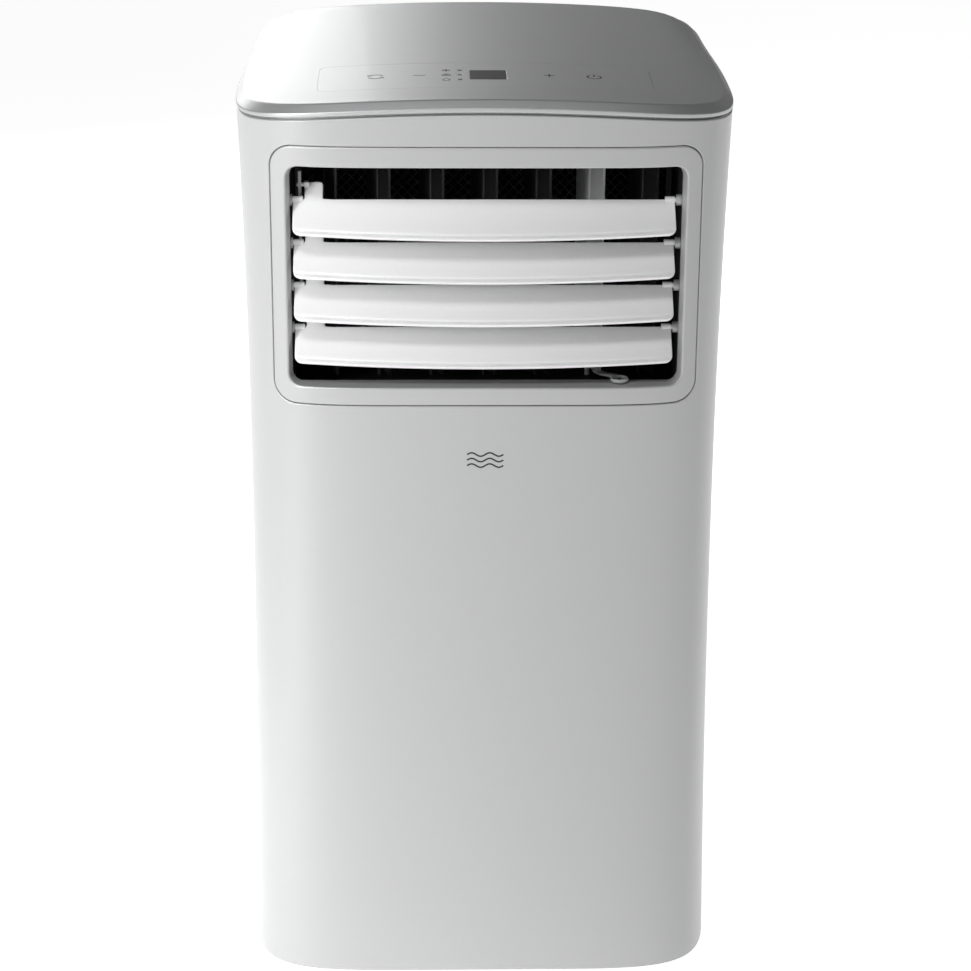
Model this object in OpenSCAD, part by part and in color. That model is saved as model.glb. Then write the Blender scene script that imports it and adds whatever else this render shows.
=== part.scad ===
// A portable air conditioner on four castors, in millimetres.
// Origin: the middle of the footprint, on the floor. +Z is up, the air outlet faces -Y.

/* [Overall] */
// Width at the widest point
body_w = 355; // [345:1:430]
// Depth from the front face to the back
body_d = 345; // [340:1:420]
// Height from the floor to the top of the lid
body_h = 703; // [690:1:850]

/* [Casing] */
// Wall of the moulded shells
wall = 3; // [2.5:0.1:3.6]
// Power of the rounded-square plan before its middle: higher has tighter corners
plan_power = 6; // [5:0.5:8]
// Power of the plan behind its middle
back_power = 10; // [8:0.5:12]
// How far each side is drawn in at the waist
waist_inset = 5; // [0:0.5:8]
// Height of the waist
waist_z = 390; // [300:5:450]
// How far each side is drawn in towards the back
back_inset = 4.5; // [3:0.5:8]
// Fall of the top from its middle to each side
crown = 8.8; // [4:0.1:12]
// Rise of the lid from front to back
lid_rise = 12; // [8:0.5:16]
// Rise of the casing's top edge from front to back
edge_rise = 4; // [0:0.5:6]
// Height of the lid's edge above the casing's top edge
lid_edge = 10; // [9:0.5:14]
// Shadow gap between the casing and the lid
lid_gap = 2; // [1:0.5:3]
// Width of the bevel round the lid
bevel_w = 6; // [4:0.5:9]
// Height of that bevel
bevel_h = 5; // [3:0.5:6]
// Height of the skirt above the floor
skirt_z = 14; // [10:1:16]
// Clearance round a part let into the casing
panel_gap = 0.5; // [0.3:0.1:1]
// Where the front and rear shells meet, behind the middle
split_y = 40; // [20:1:48]

/* [Air outlet] */
// Distance from the side of the casing to the outlet frame
frame_margin = 27; // [24:1:34]
// Height of the outlet frame
frame_h = 186.5; // [180:0.5:200]
// Distance from the top of the lid down to the outlet frame
frame_drop = 44.5; // [40:0.5:60]
// Width of the frame's face beside the opening
frame_side = 10.5; // [9:0.5:14]
// Width of the frame's face above the opening
frame_top = 14.5; // [13:0.5:18]
// Width of the frame's face below the opening
frame_bottom = 13; // [12:0.5:16]
// Depth of the drafted lip inside the opening
lip_depth = 18; // [14:1:20]
// Depth of the outlet frame behind the front face
tunnel_depth = 45; // [42:1:50]
// Wall of the frame's tunnel and of the air duct
duct_wall = 2.5; // [2:0.1:3]
// Height of the opening's sill above the duct floor
sill_h = 12; // [11:0.5:14]

/* [Louvres] */
// Distance between louvre pivots
louver_pitch = 31; // [31:0.25:34]
// Distance from the top of the opening down to the first pivot
louver_drop = 28; // [28:0.5:33]
// Distance of the pivots behind the front face
louver_setback = 24; // [23:0.5:26]
// Depth of a louvre blade at its middle
louver_chord = 33.5; // [30:0.5:34]
// Gap between a blade's end and the outlet's side
louver_gap = 3.3; // [2.5:0.1:5]
// Thickness of a louvre blade
louver_t = 2.2; // [1.8:0.1:2.6]
// Angle of the blades below level, at rest
louver_tilt = 44; // [40:1:46]
// Diameter of the pivot pins
pivot_d = 4; // [3:0.5:5]
// Running clearance round a pin, on the radius
pin_fit = 0.06; // [0.03:0.01:0.1]
// Thickness of the link bars
link_t = 2; // [1.5:0.5:2.5]

/* [Vanes] */
// Distance of the vane pivots behind the front face
vane_setback = 70; // [68:1:76]
// Depth of a vane
vane_chord = 50; // [40:1:50]
// Thickness of a vane
vane_t = 1.8; // [1.5:0.1:2.5]
// Distance from the duct wall to the first vane pivot
vane_margin = 23; // [20:1:30]
// Angle of the vanes to the side, at rest
vane_yaw = 19; // [10:1:25]
// Distance from the vane pivot to the middle of the lever's thumb pad
lever_reach = 60.5; // [56:0.5:62]

/* [Fans and coils] */
// Diameter of the evaporator blower wheel
blower_d = 170; // [140:1:176]
// Depth of both scroll housings
scroll_depth = 70; // [60:1:74]
// Diameter of the condenser fan wheel
cond_wheel_d = 120; // [100:1:124]
// Thickness of the evaporator
evap_t = 30; // [25:1:36]
// Thickness of the condenser
cond_t = 38; // [30:1:40]
// Inner diameter of the exhaust collar
exhaust_d = 130; // [105:1:134]
// Height of the exhaust collar's centre
exhaust_z = 160; // [155:1:170]

/* [Running gear] */
// Diameter of a castor wheel
castor_d = 38; // [31:1:46]
// Width of a castor wheel
castor_w = 16; // [12:1:18]
// Trail of a castor, from its stem to its axle
castor_trail = 12; // [8:1:14]
// Distance of the castors from the middle, both ways
castor_at = 110; // [100:1:114]

/* [Hidden] */
$fn = 48;

// Plan of the casing
front_y = -body_d / 2;
back_y0 = body_d / 2;
plan_points = 48;
narrow_y = -40;
narrow_run = 150;

// Heights of the front
frame_z1 = body_h - frame_drop;
frame_z0 = frame_z1 - frame_h;
open_z1 = frame_z1 - frame_top;
open_z0 = frame_z0 + frame_bottom;
frame_w = body_w - 2 * frame_margin;
open_w = frame_w - 2 * frame_side;
open_r = 9;
frame_r = 16;
lip_draft = 3;

// Inside of the outlet tunnel and duct
duct_half = open_w / 2 - lip_draft;
duct_z0 = open_z0 - sill_h;
duct_z1 = open_z1 + 4.5;
tunnel_y = front_y + tunnel_depth;
lip_y = front_y + lip_depth;

// Louvres
louver_x0 = -duct_half + 2;
louver_x1 = duct_half - 2 * louver_gap + 2;
louver_y = front_y + louver_setback;
louver_count = 4;
link_arm = [8, 9];
link_pin_d = 3;
link_fit = 0.1;
link_w = 6;
ear_x = louver_x0 + 7;
ear_t = 2;
ear_w = 13;
ear_l = 13.5;
link_x = ear_x - 1 - link_t - 0.4;

// Vanes
vane_count = 7;
lever_vane = 6;
vane_y = front_y + vane_setback;
vane_pitch = 2 * (duct_half - vane_margin) / (vane_count - 1);
vane_z0 = duct_z0 + 7;
vane_z1 = duct_z1 - 8.5;
vane_arm = vane_chord / 2 - 4;
guard_y = vane_y + vane_chord / 2 + 7;
guard_t = 1.2;

// Upper compartment: the blower hangs under the duct, the tray lies under the blower
scroll_wall = 2.5;
wheel_gap = 8;
scroll_grow = 24;
scroll_y0 = 2;
scroll_y1 = scroll_y0 + scroll_depth;
blower_r = blower_d / 2;
blower_z = duct_z0 - duct_wall - blower_r - wheel_gap - scroll_wall - 4;
blower_low = blower_z - blower_r - wheel_gap - scroll_grow * 0.72 - scroll_wall;
duct_back = scroll_y1 + 4;
duct_step = 88;
tray_t = 3;
tray_h = 22;
tray_z = blower_low - 1 - tray_t - 2;
evap_y = scroll_y1 + 20;
evap_z0 = tray_z + tray_t + 4;
evap_z1 = frame_z1 - 62;
shaft_d = 8;
shaft_fit = 0.06;

// Lower compartment
castor_r = castor_d / 2;
fork_top = castor_d + 5;
base_z = fork_top + 1.5;
base_t = 3;
rim_t = 3;
rim_z = base_z + 40;
cond_x0 = -(body_w / 2 - back_inset - wall - 22);
cond_x1 = -8;
cond_z0 = base_z + base_t + 12;
cond_z1 = tray_z - 6;
cond_y = evap_y + 8;
cond_r = cond_wheel_d / 2;
cond_fan_x = (cond_x0 + cond_x1) / 2;
cond_fan_y1 = cond_y - 12;
cond_fan_y0 = cond_fan_y1 - 56;
exhaust_x = exhaust_d / 2 + 9;
collar_t = 3;
comp_d = 104;
comp_h = 176;
comp_x = 84;
comp_y = -84;
comp_z = base_z + base_t + 13;
acc_d = 42;
acc_x = comp_x - comp_d / 2 - acc_d / 2 - 6;
acc_y = comp_y - 26;

// Back
grille_t = 8;
grille_r = grille_t / 2;
grille_inset = 53.5;
grille_w = body_w - 2 * grille_inset;
upper_grille_z0 = tray_z + tray_h + 22;
upper_grille_z1 = evap_z1;
lower_grille_w = grille_w / 2 - 6;
lower_grille_x = -lower_grille_w / 2 - 6;
lower_grille_z0 = rim_z + 8;
lower_grille_z1 = tray_z - 12;
ring_t = 5;
filter_t = 3;
slat_pitch = 10;
slat_gap = 6;
drain_r = 5.5;
drain_wall = 2.5;
drain_upper = [grille_w / 2 - 18, tray_z + 12];
drain_lower = [-40, base_z + base_t + 9];
gland_at = [grille_w / 2 - 14, base_z + base_t + 15];
gland_r = 4.2;
handle_y = 92;
handle_z = frame_z1 - 60;
handle_l = 92;
handle_h = 30;
handle_depth = 22;

// Lid
panel_w = 236;
panel_l = 72;
panel_y = front_y + 76;
panel_t = 1;
panel_r = 8;
window_w = 26;
window_l = 27;
window_x = 2;
led_x = -18;
led_pitch = 13.5;
led_size = 3.4;
snug = 0.15;
board_w = 160;
board_l = 56;
board_t = 1.6;
board_z = body_h - lid_rise - crown - 18;

// Grilles, scrolls and coils
grille_y1 = back_at(grille_w / 2) - 0.6;
grille_y0 = grille_y1 - grille_t;
throat_x0 = (blower_r + wheel_gap) * cos(60);
throat_x1 = blower_r + wheel_gap + scroll_grow;
evap_half = body_w / 2 - back_inset - wall - 42;
tray_half = body_w / 2 - back_inset - wall - 24;
cond_fan_z = exhaust_z - 4;
cond_fan_y = cond_fan_y0 + scroll_wall + 4;
cond_throat_z0 = cond_fan_z - cond_r - wheel_gap - scroll_grow;
cond_throat_z1 = cond_fan_z - (cond_r + wheel_gap) * cos(60);

// Compressor feet
foot_angles = [90, 210, 330];
foot_r = comp_d / 2 + 12;

// Control box
ctrl_x0 = -body_w / 2 + 42;
ctrl_x1 = -24;
ctrl_y0 = front_y + 16;
ctrl_y1 = ctrl_y0 + 44;
ctrl_z1 = duct_z0 - 18;
ctrl_z0 = ctrl_z1 - 150;
ctrl_t = 2;

// Carry handles, and self-tapping screws with recessed heads
handle_x = side_at(handle_y, handle_z) - handle_depth;
screw_x = body_w / 2 - 78;
screw_d = 4;
head_d = 7.5;
head_t = 1.4;
screws = [[-screw_x, rim_z - 10], [screw_x, rim_z - 10],
          [-screw_x * 0.6, tray_z + 13], [screw_x * 0.6, tray_z + 13],
          [-screw_x, edge_z(screw_x, back_y0) - 9], [screw_x, edge_z(screw_x, back_y0) - 9]];

// Castor stems, axles and the fork's cheeks
stem_d = 8;
stem_l = 10;
boss_d = 18;
castor_spots = [[-castor_at, -castor_at], [castor_at, -castor_at],
                [-castor_at, castor_at], [castor_at, castor_at]];
axle_d = 5;
cheek_t = 2.5;
cheek_gap = 0.6;

// ---- the casing's outline ----

function ease(u) = u <= 0 ? 0 : u >= 1 ? 1 : (1 - cos(180 * u)) / 2;

function spow(v, e) = sign(v) * pow(abs(v), e);

// How far the sides are drawn in at height z
function waist(z) =
    let (span = z < waist_z ? waist_z : body_h - 20 - waist_z)
    waist_inset * max(0, 1 - pow((z - waist_z) / span, 2));

function side_at(y, z) =
    body_w / 2 - waist(z) - back_inset * ease((y - narrow_y) / narrow_run);

// A point of the plan at angle t, a distance inset inside the outer face
function plan(t, inset, z) =
    let (power = sin(t) > 0 ? back_power : plan_power,
         y = (body_d / 2 - inset) * spow(sin(t), 2 / power))
    [(side_at(y, z) - inset) * spow(cos(t), 2 / power), y];

// Where the back face lies at x
function back_at(x, inset = 0) =
    let (half = body_w / 2 - back_inset - waist_inset - inset)
    (body_d / 2 - inset) * pow(1 - pow(abs(x) / half, back_power), 1 / back_power);

function crown_at(x) = crown * pow(2 * x / body_w, 2);

function edge_z(x, y) =
    body_h - lid_rise - lid_edge + edge_rise * (y / body_d + 0.5) - crown_at(x);

function lid_z(x, y) = body_h - lid_rise * (0.5 - y / body_d) - crown_at(x);

function turn(i) = i * 360 / plan_points;

// A level ring, and a ring that follows the casing's top edge
function ring(inset, z) =
    [for (i = [0:plan_points - 1]) let (p = plan(turn(i), inset, z)) [p.x, p.y, z]];

function top_ring(inset, rise) =
    [for (i = [0:plan_points - 1])
        let (p = plan(turn(i), inset, body_h)) [p.x, p.y, edge_z(p.x, p.y) + rise]];

// A ring on the lid: share 0 lies at the bevel's top, share 1 on the lid's flat
function lid_ring(inset, share, drop) =
    [for (i = [0:plan_points - 1])
        let (p = plan(turn(i), inset, body_h),
             low = edge_z(p.x, p.y) + lid_edge,
             high = lid_z(p.x, p.y))
        [p.x, p.y, low + (high - low) * share - drop]];

function middle(points) =
    [0, 0, (points[0].z + points[round(len(points) / 2)].z) / 2];

// A closed skin through rings of equal length; cap is the height of its top's middle
module ring_solid(rings, cap) {
    n = len(rings[0]);
    last = len(rings) - 1;
    low = len(rings) * n;
    points = concat([for (r = rings) each r], [middle(rings[0]), [0, 0, cap]]);
    sides = [for (i = [0:last - 1]) for (j = [0:n - 1])
        let (a = i * n + j, b = i * n + (j + 1) % n)
        each [[a, a + n, b + n], [a, b + n, b]]];
    bottom = [for (j = [0:n - 1]) [j, (j + 1) % n, low]];
    top = [for (j = [0:n - 1]) [last * n + (j + 1) % n, last * n + j, low + 1]];
    polyhedron(points = points, faces = concat(sides, bottom, top), convexity = 6);
}

// The casing, a distance inset inside its outer face, from z0 to its top edge plus rise
module body_solid(inset, z0, rise = 0) {
    levels = 6;
    z_last = body_h - 60;
    rings = concat([for (i = [0:levels]) ring(inset, z0 + (z_last - z0) * i / levels)],
                   [top_ring(inset, rise)]);
    ring_solid(rings, edge_z(0, 0) + rise);
}

module lid_solid(inset, drop, foot) {
    roll = 30;
    rings = [top_ring(inset, foot),
             top_ring(inset, lid_edge - bevel_h - drop),
             lid_ring(inset + bevel_w, 0, drop),
             lid_ring(inset + bevel_w + roll * 0.35, 0.62, drop),
             lid_ring(inset + bevel_w + roll, 1, drop),
             lid_ring(75, 1, drop),
             lid_ring(120, 1, drop)];
    ring_solid(rings, lid_z(0, 0) - drop);
}

// A prism with the casing's plan between two heights
module plan_prism(inset, z0, z1) {
    translate([0, 0, z0])
        linear_extrude(z1 - z0)
            polygon([for (i = [0:plan_points - 1]) plan(turn(i), inset, waist_z)]);
}

// ---- shared shapes ----

module rounded_rect(w, h, r) {
    square([w - 2 * r, h], center = true);
    square([w, h - 2 * r], center = true);
    for (x = [-1, 1], y = [-1, 1])
        translate([x * (w / 2 - r), y * (h / 2 - r)]) circle(r);
}

// A rounded rectangle seen from the front, between two depths
module front_prism(w, z0, z1, r, y0, y1) {
    translate([0, y1, (z0 + z1) / 2])
        rotate([90, 0, 0])
            linear_extrude(y1 - y0) rounded_rect(w, z1 - z0, r);
}

module box(p0, p1) {
    translate(p0) cube(p1 - p0);
}

// A round bar from p, a length l along an axis
module bar_x(p, d, l) {
    translate(p) rotate([0, 90, 0]) cylinder(d = d, h = l);
}

module bar_y(p, d, l) {
    translate(p) rotate([-90, 0, 0]) cylinder(d = d, h = l);
}

module bar_z(p, d, l) {
    translate(p) cylinder(d = d, h = l);
}

// A tube laid through a list of corners, each leg along one axis
module pipe(corners, d) {
    for (i = [0:len(corners) - 2]) {
        leg = corners[i + 1] - corners[i];
        translate(corners[i])
            rotate([0, acos(leg.z / norm(leg)), atan2(leg.y, leg.x)])
                cylinder(d = d, h = norm(leg));
    }
    for (i = [1:1:len(corners) - 2]) translate(corners[i]) sphere(d = d);
}

// ---- casing ----

module front_shell() {
    color("whitesmoke")
        difference() {
            body_solid(0, skirt_z);
            body_solid(wall, skirt_z - 1, 1);
            box([-body_w, split_y, 0], [body_w, body_d, body_h]);
            front_prism(frame_w + 2 * panel_gap, frame_z0 - panel_gap,
                        frame_z1 + panel_gap, frame_r, front_y - 1, front_y + 60);
        }
}

// The wall round a grille's window, which carries the grille's pins
module window_ring(x, w, z0, z1) {
    face = back_at(grille_w / 2 + ring_t + panel_gap) - 0.4;
    difference() {
        box([x - w / 2 - panel_gap - ring_t, grille_y0 - 4, z0 - panel_gap - ring_t],
            [x + w / 2 + panel_gap + ring_t, face, z1 + panel_gap + ring_t]);
        window_hole(x, w, z0, z1);
    }
}

module window_hole(x, w, z0, z1) {
    box([x - w / 2 - panel_gap, grille_y0 - 6, z0 - panel_gap],
        [x + w / 2 + panel_gap, back_y0 + 5, z1 + panel_gap]);
}

module pin_holes(x, w, z0) {
    bar_x([x - w / 2 - 4, grille_y0 + grille_r, z0 + grille_r],
          pivot_d + 2 * pin_fit, w + 8);
}

module rear_shell() {
    color("whitesmoke")
        difference() {
            union() {
                difference() {
                    body_solid(0, skirt_z);
                    body_solid(wall, skirt_z - 1, 1);
                    box([-body_w, -body_d, 0], [body_w, split_y, body_h]);
                    window_hole(0, grille_w, upper_grille_z0, upper_grille_z1);
                    window_hole(lower_grille_x, lower_grille_w, lower_grille_z0,
                                lower_grille_z1);
                }
                window_ring(0, grille_w, upper_grille_z0, upper_grille_z1);
                window_ring(lower_grille_x, lower_grille_w, lower_grille_z0,
                            lower_grille_z1);
            }
            pin_holes(0, grille_w, upper_grille_z0);
            pin_holes(lower_grille_x, lower_grille_w, lower_grille_z0);
            bar_y([exhaust_x, back_y0 - 60, exhaust_z],
                  exhaust_d + 2 * collar_t + 2 * panel_gap, 80);
            bar_y([drain_upper.x, back_y0 - 8, drain_upper.y], 24, 20);
            bar_y([drain_lower.x, back_y0 - 8, drain_lower.y], 24, 20);
            bar_y([gland_at.x, back_y0 - 8, gland_at.y], 2 * gland_r + 6, 20);
            handle_block(panel_gap);
            screw_holes();
        }
}

module top_cover() {
    color("silver")
        difference() {
            union() {
                difference() {
                    lid_solid(0, 0, lid_gap);
                    lid_solid(wall, wall, lid_gap - 4);
                }
                lid_flange();
                for (x = [-1, 1], y = [-1, 1])
                    bar_z([x * (board_w / 2 - 6), panel_y + y * (board_l / 2 - 6),
                           board_z + board_t], 7, lid_post_h(x, y));
            }
            intersection() {
                panel_prism(panel_w + 2 * snug, panel_l + 2 * snug, panel_r, 0);
                lid_skin(panel_t, -1);
            }
            panel_prism(window_w - 3, window_l - 3, 1, window_x);
            led_row(led_size - 1.2);
            screw_holes();
        }
}

function lid_post_h(x, y) =
    lid_z(board_w / 2, panel_y + y * board_l / 2) - wall / 2 - board_z - board_t;

// The wall under the lid that drops inside the shells
module lid_flange() {
    flange_in = wall + 1.2;
    difference() {
        ring_solid([top_ring(flange_in, -16), top_ring(flange_in, 5)], edge_z(0, 0) + 5);
        ring_solid([top_ring(flange_in + 2.5, -17), top_ring(flange_in + 2.5, 6)],
                   edge_z(0, 0) + 6);
    }
}

module panel_prism(w, l, r, x) {
    translate([x, panel_y, body_h - 60]) linear_extrude(80) rounded_rect(w, l, r);
}

module led_row(size) {
    for (i = [-1:1])
        translate([led_x, panel_y + i * led_pitch, body_h - 60])
            linear_extrude(80) square(size, center = true);
}

// What lies between the lid's surface plus rise and a depth below it
module lid_skin(depth, rise = 0) {
    difference() {
        translate([0, 0, -rise]) lid_solid(0, 0, lid_gap);
        translate([0, 0, -depth]) lid_solid(0, 0, -30);
    }
}

module control_panel() {
    color("lightgray")
        difference() {
            intersection() {
                panel_prism(panel_w, panel_l, panel_r, 0);
                lid_skin(panel_t);
            }
            panel_prism(window_w + 2 * snug, window_l + 2 * snug, 1, window_x);
            led_row(led_size + 2 * snug);
        }
}

module display_window() {
    color("darkolivegreen")
        intersection() {
            panel_prism(window_w, window_l, 1, window_x);
            lid_skin(panel_t);
        }
}

module indicator_leds() {
    color("dimgray")
        intersection() {
            led_row(led_size);
            lid_skin(panel_t);
        }
}

module display_board() {
    color("darkgreen") {
        box([-board_w / 2, panel_y - board_l / 2, board_z],
            [board_w / 2, panel_y + board_l / 2, board_z + board_t]);
        box([window_x - window_w / 2, panel_y - window_l / 2, board_z + board_t],
            [window_x + window_w / 2, panel_y + window_l / 2, board_z + board_t + 5]);
        for (i = [-1:1])
            box([led_x - 2, panel_y + i * led_pitch - 2, board_z + board_t],
                [led_x + 2, panel_y + i * led_pitch + 2, board_z + board_t + 4]);
        box([40, panel_y - 6, board_z + board_t], [56, panel_y + 8, board_z + board_t + 3]);
    }
}

// ---- air outlet ----

// The drafted opening: full size at the face, smaller at the lip's back edge
module opening_cut() {
    hull() {
        front_prism(open_w, open_z0, open_z1, open_r, front_y - 1, front_y);
        front_prism(open_w - 2 * lip_draft, open_z0 + 0.5, open_z1 - 1, open_r - 2,
                    lip_y, lip_y + 0.5);
    }
    front_prism(open_w, open_z0, open_z1, open_r, front_y - 20, front_y);
}

module louver_frame() {
    color("whitesmoke")
        difference() {
            union() {
                intersection() {
                    front_prism(frame_w, frame_z0, frame_z1, frame_r, front_y - 5, lip_y);
                    difference() {
                        body_solid(0, skirt_z);
                        body_solid(wall, skirt_z - 1, 1);
                    }
                }
                intersection() {
                    front_prism(open_w + 2 * duct_wall, open_z0 - duct_wall,
                                open_z1 + duct_wall, open_r + duct_wall,
                                front_y - 5, lip_y + 0.4);
                    body_solid(0.5, skirt_z);
                }
                tunnel_wall();
            }
            opening_cut();
            for (i = [1:louver_count])
                bar_x([-duct_half - 20, louver_y, louver_z(i)], pivot_d + 2 * pin_fit,
                      2 * duct_half + 40);
        }
}

// The box behind the lip, open at the back
module tunnel_wall() {
    difference() {
        box([-duct_half - duct_wall, lip_y - 2, duct_z0 - duct_wall],
            [duct_half + duct_wall, tunnel_y, duct_z1 + duct_wall]);
        box([-duct_half, lip_y, duct_z0], [duct_half, tunnel_y + 1, duct_z1]);
    }
}

function louver_z(i) = open_z1 - louver_drop - (i - 1) * louver_pitch;

// Blade about its own pivot line: the blade runs forward and down at its rest angle
module louver(i) {
    bulge_r = 1770;
    corner = 6;
    length = louver_x1 - louver_x0;
    arm = norm(link_arm);
    color("white")
        translate([0, louver_y, louver_z(i)]) {
            rotate([louver_tilt, 0, 0]) {
                translate([(louver_x0 + louver_x1) / 2, 0, -louver_t / 2])
                    linear_extrude(louver_t)
                        intersection() {
                            translate([0, bulge_r - louver_chord])
                                circle(bulge_r, $fn = 360);
                            union() {
                                translate([0, -louver_chord / 2])
                                    rounded_rect(length, louver_chord, corner);
                                translate([-length / 2, -louver_chord / 2])
                                    square([length, louver_chord / 2]);
                            }
                        }
            }
            bar_x([louver_x0, 0, 0], pivot_d + 1, 7);
            bar_x([louver_x1 - 7, 0, 0], pivot_d + 1, 7);
            bar_x([-duct_half - duct_wall, 0, 0], pivot_d, louver_x0 + duct_half + duct_wall + 4);
            bar_x([louver_x1 - 4, 0, 0], pivot_d, duct_half + duct_wall + 4 - louver_x1);
            rotate([louver_tilt, 0, 0])
                box([ear_x, -1, -louver_t / 2], [ear_x + ear_w, ear_l, louver_t / 2]);
            translate([ear_x, 0, 0]) rotate([atan2(link_arm.y, link_arm.x), 0, 0]) {
                bar_x([0, arm, 0], link_pin_d + 3, ear_t);
                bar_x([0, 0, 0], link_pin_d + 3, ear_t);
                box([0, 0, -1.5 - link_pin_d / 2], [ear_t, arm, 1.5 + link_pin_d / 2]);
                bar_x([link_x - 1 - ear_x, arm, 0], link_pin_d, 1 + ear_x - link_x);
            }
        }
}

module louver_link() {
    head = 10;
    color("gainsboro")
        difference() {
            translate([0, louver_y + link_arm.x, 0])
                union() {
                    box([link_x, -link_w / 2, louver_z(louver_count) + link_arm.y],
                        [link_x + link_t, link_w / 2, louver_z(1) + link_arm.y + head]);
                    bar_x([link_x, 0, louver_z(louver_count) + link_arm.y],
                          link_w, link_t);
                }
            for (i = [1:louver_count])
                bar_x([link_x - 5, louver_y + link_arm.x, louver_z(i) + link_arm.y],
                      link_pin_d + 2 * link_fit, 10);
        }
}

// Side view of the duct, with its outer face a distance t outside its inner face
module duct_profile(t, y0) {
    polygon([[y0, duct_z0 - t], [duct_back + t, duct_z0 - t],
             [duct_back + t, duct_z0 + duct_step + t / 2], [scroll_y0 + 8 + t / 2, duct_z1 + t],
             [y0, duct_z1 + t]]);
}

module duct_bar(t, y0, half) {
    translate([-half, 0, 0])
        rotate([90, 0, 90])
            linear_extrude(2 * half) duct_profile(t, y0);
}

module air_duct() {
    color("dimgray")
        difference() {
            duct_bar(duct_wall, tunnel_y, duct_half + duct_wall);
            duct_bar(0, tunnel_y - 1, duct_half);
            box([throat_x0, scroll_y0 + scroll_wall, duct_z0 - duct_wall - 1],
                [throat_x1, scroll_y1 - scroll_wall, duct_z0 + 1]);
            for (i = [1:vane_count])
                bar_z([vane_x(i), vane_y, duct_z0 - 10], pivot_d + 2 * pin_fit,
                      duct_z1 - duct_z0 + 20);
        }
}

module outlet_guard() {
    mesh = 12;
    rim = 5;
    reach = duct_half + (duct_z1 - duct_z0) / 2;
    color("dimgray") {
        translate([0, guard_y, 0])
            difference() {
                box([-duct_half, 0, duct_z0], [duct_half, 2 * guard_t, duct_z1]);
                box([-duct_half + rim, -1, duct_z0 + rim],
                    [duct_half - rim, 2 * guard_t + 1, duct_z1 - rim]);
            }
        for (side = [0, 1])
            intersection() {
                box([-duct_half + 1, guard_y + side * guard_t, duct_z0 + 1],
                    [duct_half - 1, guard_y + (side + 1) * guard_t, duct_z1 - 1]);
                for (i = [-floor(reach / mesh):floor(reach / mesh)])
                    translate([i * mesh * 1.35, guard_y, (duct_z0 + duct_z1) / 2])
                        rotate([0, side == 0 ? 45 : -45, 0])
                            box([-0.7, -1, -reach], [0.7, 2 * guard_t + 1, reach]);
            }
    }
}

function vane_x(i) = (i - (vane_count + 1) / 2) * vane_pitch;

// A vane about its own pivot line, turned to its rest angle
module vane(i) {
    color(i == lever_vane ? "lightgray" : "dimgray")
        translate([vane_x(i), vane_y, 0])
            rotate([0, 0, vane_yaw]) {
                box([-vane_t / 2, -vane_chord / 2, vane_z0],
                    [vane_t / 2, vane_chord / 2, vane_z1]);
                bar_z([0, 0, duct_z0 - duct_wall + 0.2], pivot_d,
                      duct_z1 - duct_z0 + 2 * duct_wall - 0.4);
                bar_z([0, vane_arm, vane_z1 - 6], link_pin_d, 6 + link_t + 1.5);
                if (i == lever_vane) lever();
            }
}

// The thumb lever: it climbs over the sill and ends in a round pad
module lever() {
    pad_r = 6.5;
    pad_t = 2.2;
    stem_w = 6;
    pad_z = open_z0 + 1.2;
    climb_y = -lever_reach + 10.5;
    root_y = -vane_chord / 2 + 7;
    drop = 6.8;
    slope = atan2(drop, root_y - climb_y);
    translate([0, climb_y, pad_z + pad_t])
        rotate([-slope, 0, 0])
            box([-stem_w / 2, -0.2, -pad_t], [stem_w / 2, (root_y - climb_y) / cos(slope), 0]);
    box([-stem_w / 2, -lever_reach, pad_z], [stem_w / 2, climb_y + 0.2, pad_z + pad_t]);
    bar_z([0, -lever_reach, pad_z], 2 * pad_r, pad_t);
}

module vane_link() {
    arm_x = -vane_arm * sin(vane_yaw);
    arm_y = vane_arm * cos(vane_yaw);
    z = vane_z1 + 0.4;
    color("dimgray")
        difference() {
            translate([arm_x, vane_y + arm_y, z]) {
                box([vane_x(1), -link_w / 2, 0], [vane_x(vane_count), link_w / 2, link_t]);
                for (i = [1, vane_count]) bar_z([vane_x(i), 0, 0], link_w, link_t);
            }
            for (i = [1:vane_count])
                bar_z([vane_x(i) + arm_x, vane_y + arm_y, z - 1],
                      link_pin_d + 2 * link_fit, link_t + 2);
        }
}

// ---- blower ----

// A scroll in the XZ plane about the wheel's axis, its throat running up to top
function scroll_r(a, r) = r + wheel_gap + scroll_grow * (a - 60) / 300;

module scroll_shape(r, top, t) {
    polygon(concat([for (a = [60:12:360]) (scroll_r(a, r) + t) * [cos(a), sin(a)]],
                   [[scroll_r(360, r) + t, top],
                    [(r + wheel_gap) * cos(60) - t, top]]));
}

module scroll_prism(y0, y1, r, top, t) {
    translate([0, y1, 0])
        rotate([90, 0, 0])
            linear_extrude(y1 - y0) scroll_shape(r, top, t);
}

module blower_scroll() {
    top = duct_z0 - duct_wall - blower_z;
    color("dimgray")
        translate([0, 0, blower_z])
            difference() {
                scroll_prism(scroll_y0, scroll_y1, blower_r, top, scroll_wall);
                scroll_prism(scroll_y0 + scroll_wall, scroll_y1 - scroll_wall, blower_r,
                             top + 1, 0);
                bar_y([0, scroll_y1 - 10, 0], blower_d - 24, 20);
                bar_y([0, scroll_y0 - 5, 0], 30, 20);
            }
}

// A drum of flat blades between a back plate and a front ring, on its own shaft
module fan_wheel(d, depth, blades, shaft) {
    blade_l = d * 0.09;
    bar_y([0, 0, 0], d, 2);
    difference() {
        bar_y([0, depth - 3, 0], d, 3);
        bar_y([0, depth - 4, 0], d - 2 * blade_l, 5);
    }
    for (i = [0:blades - 1])
        rotate([0, i * 360 / blades, 0])
            box([d / 2 - blade_l, 1, -0.6], [d / 2 - 0.8, depth - 1, 0.6]);
    bar_y([0, 1, 0], 26, 18);
    bar_y([0, -shaft, 0], shaft_d, shaft + 2);
}

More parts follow.
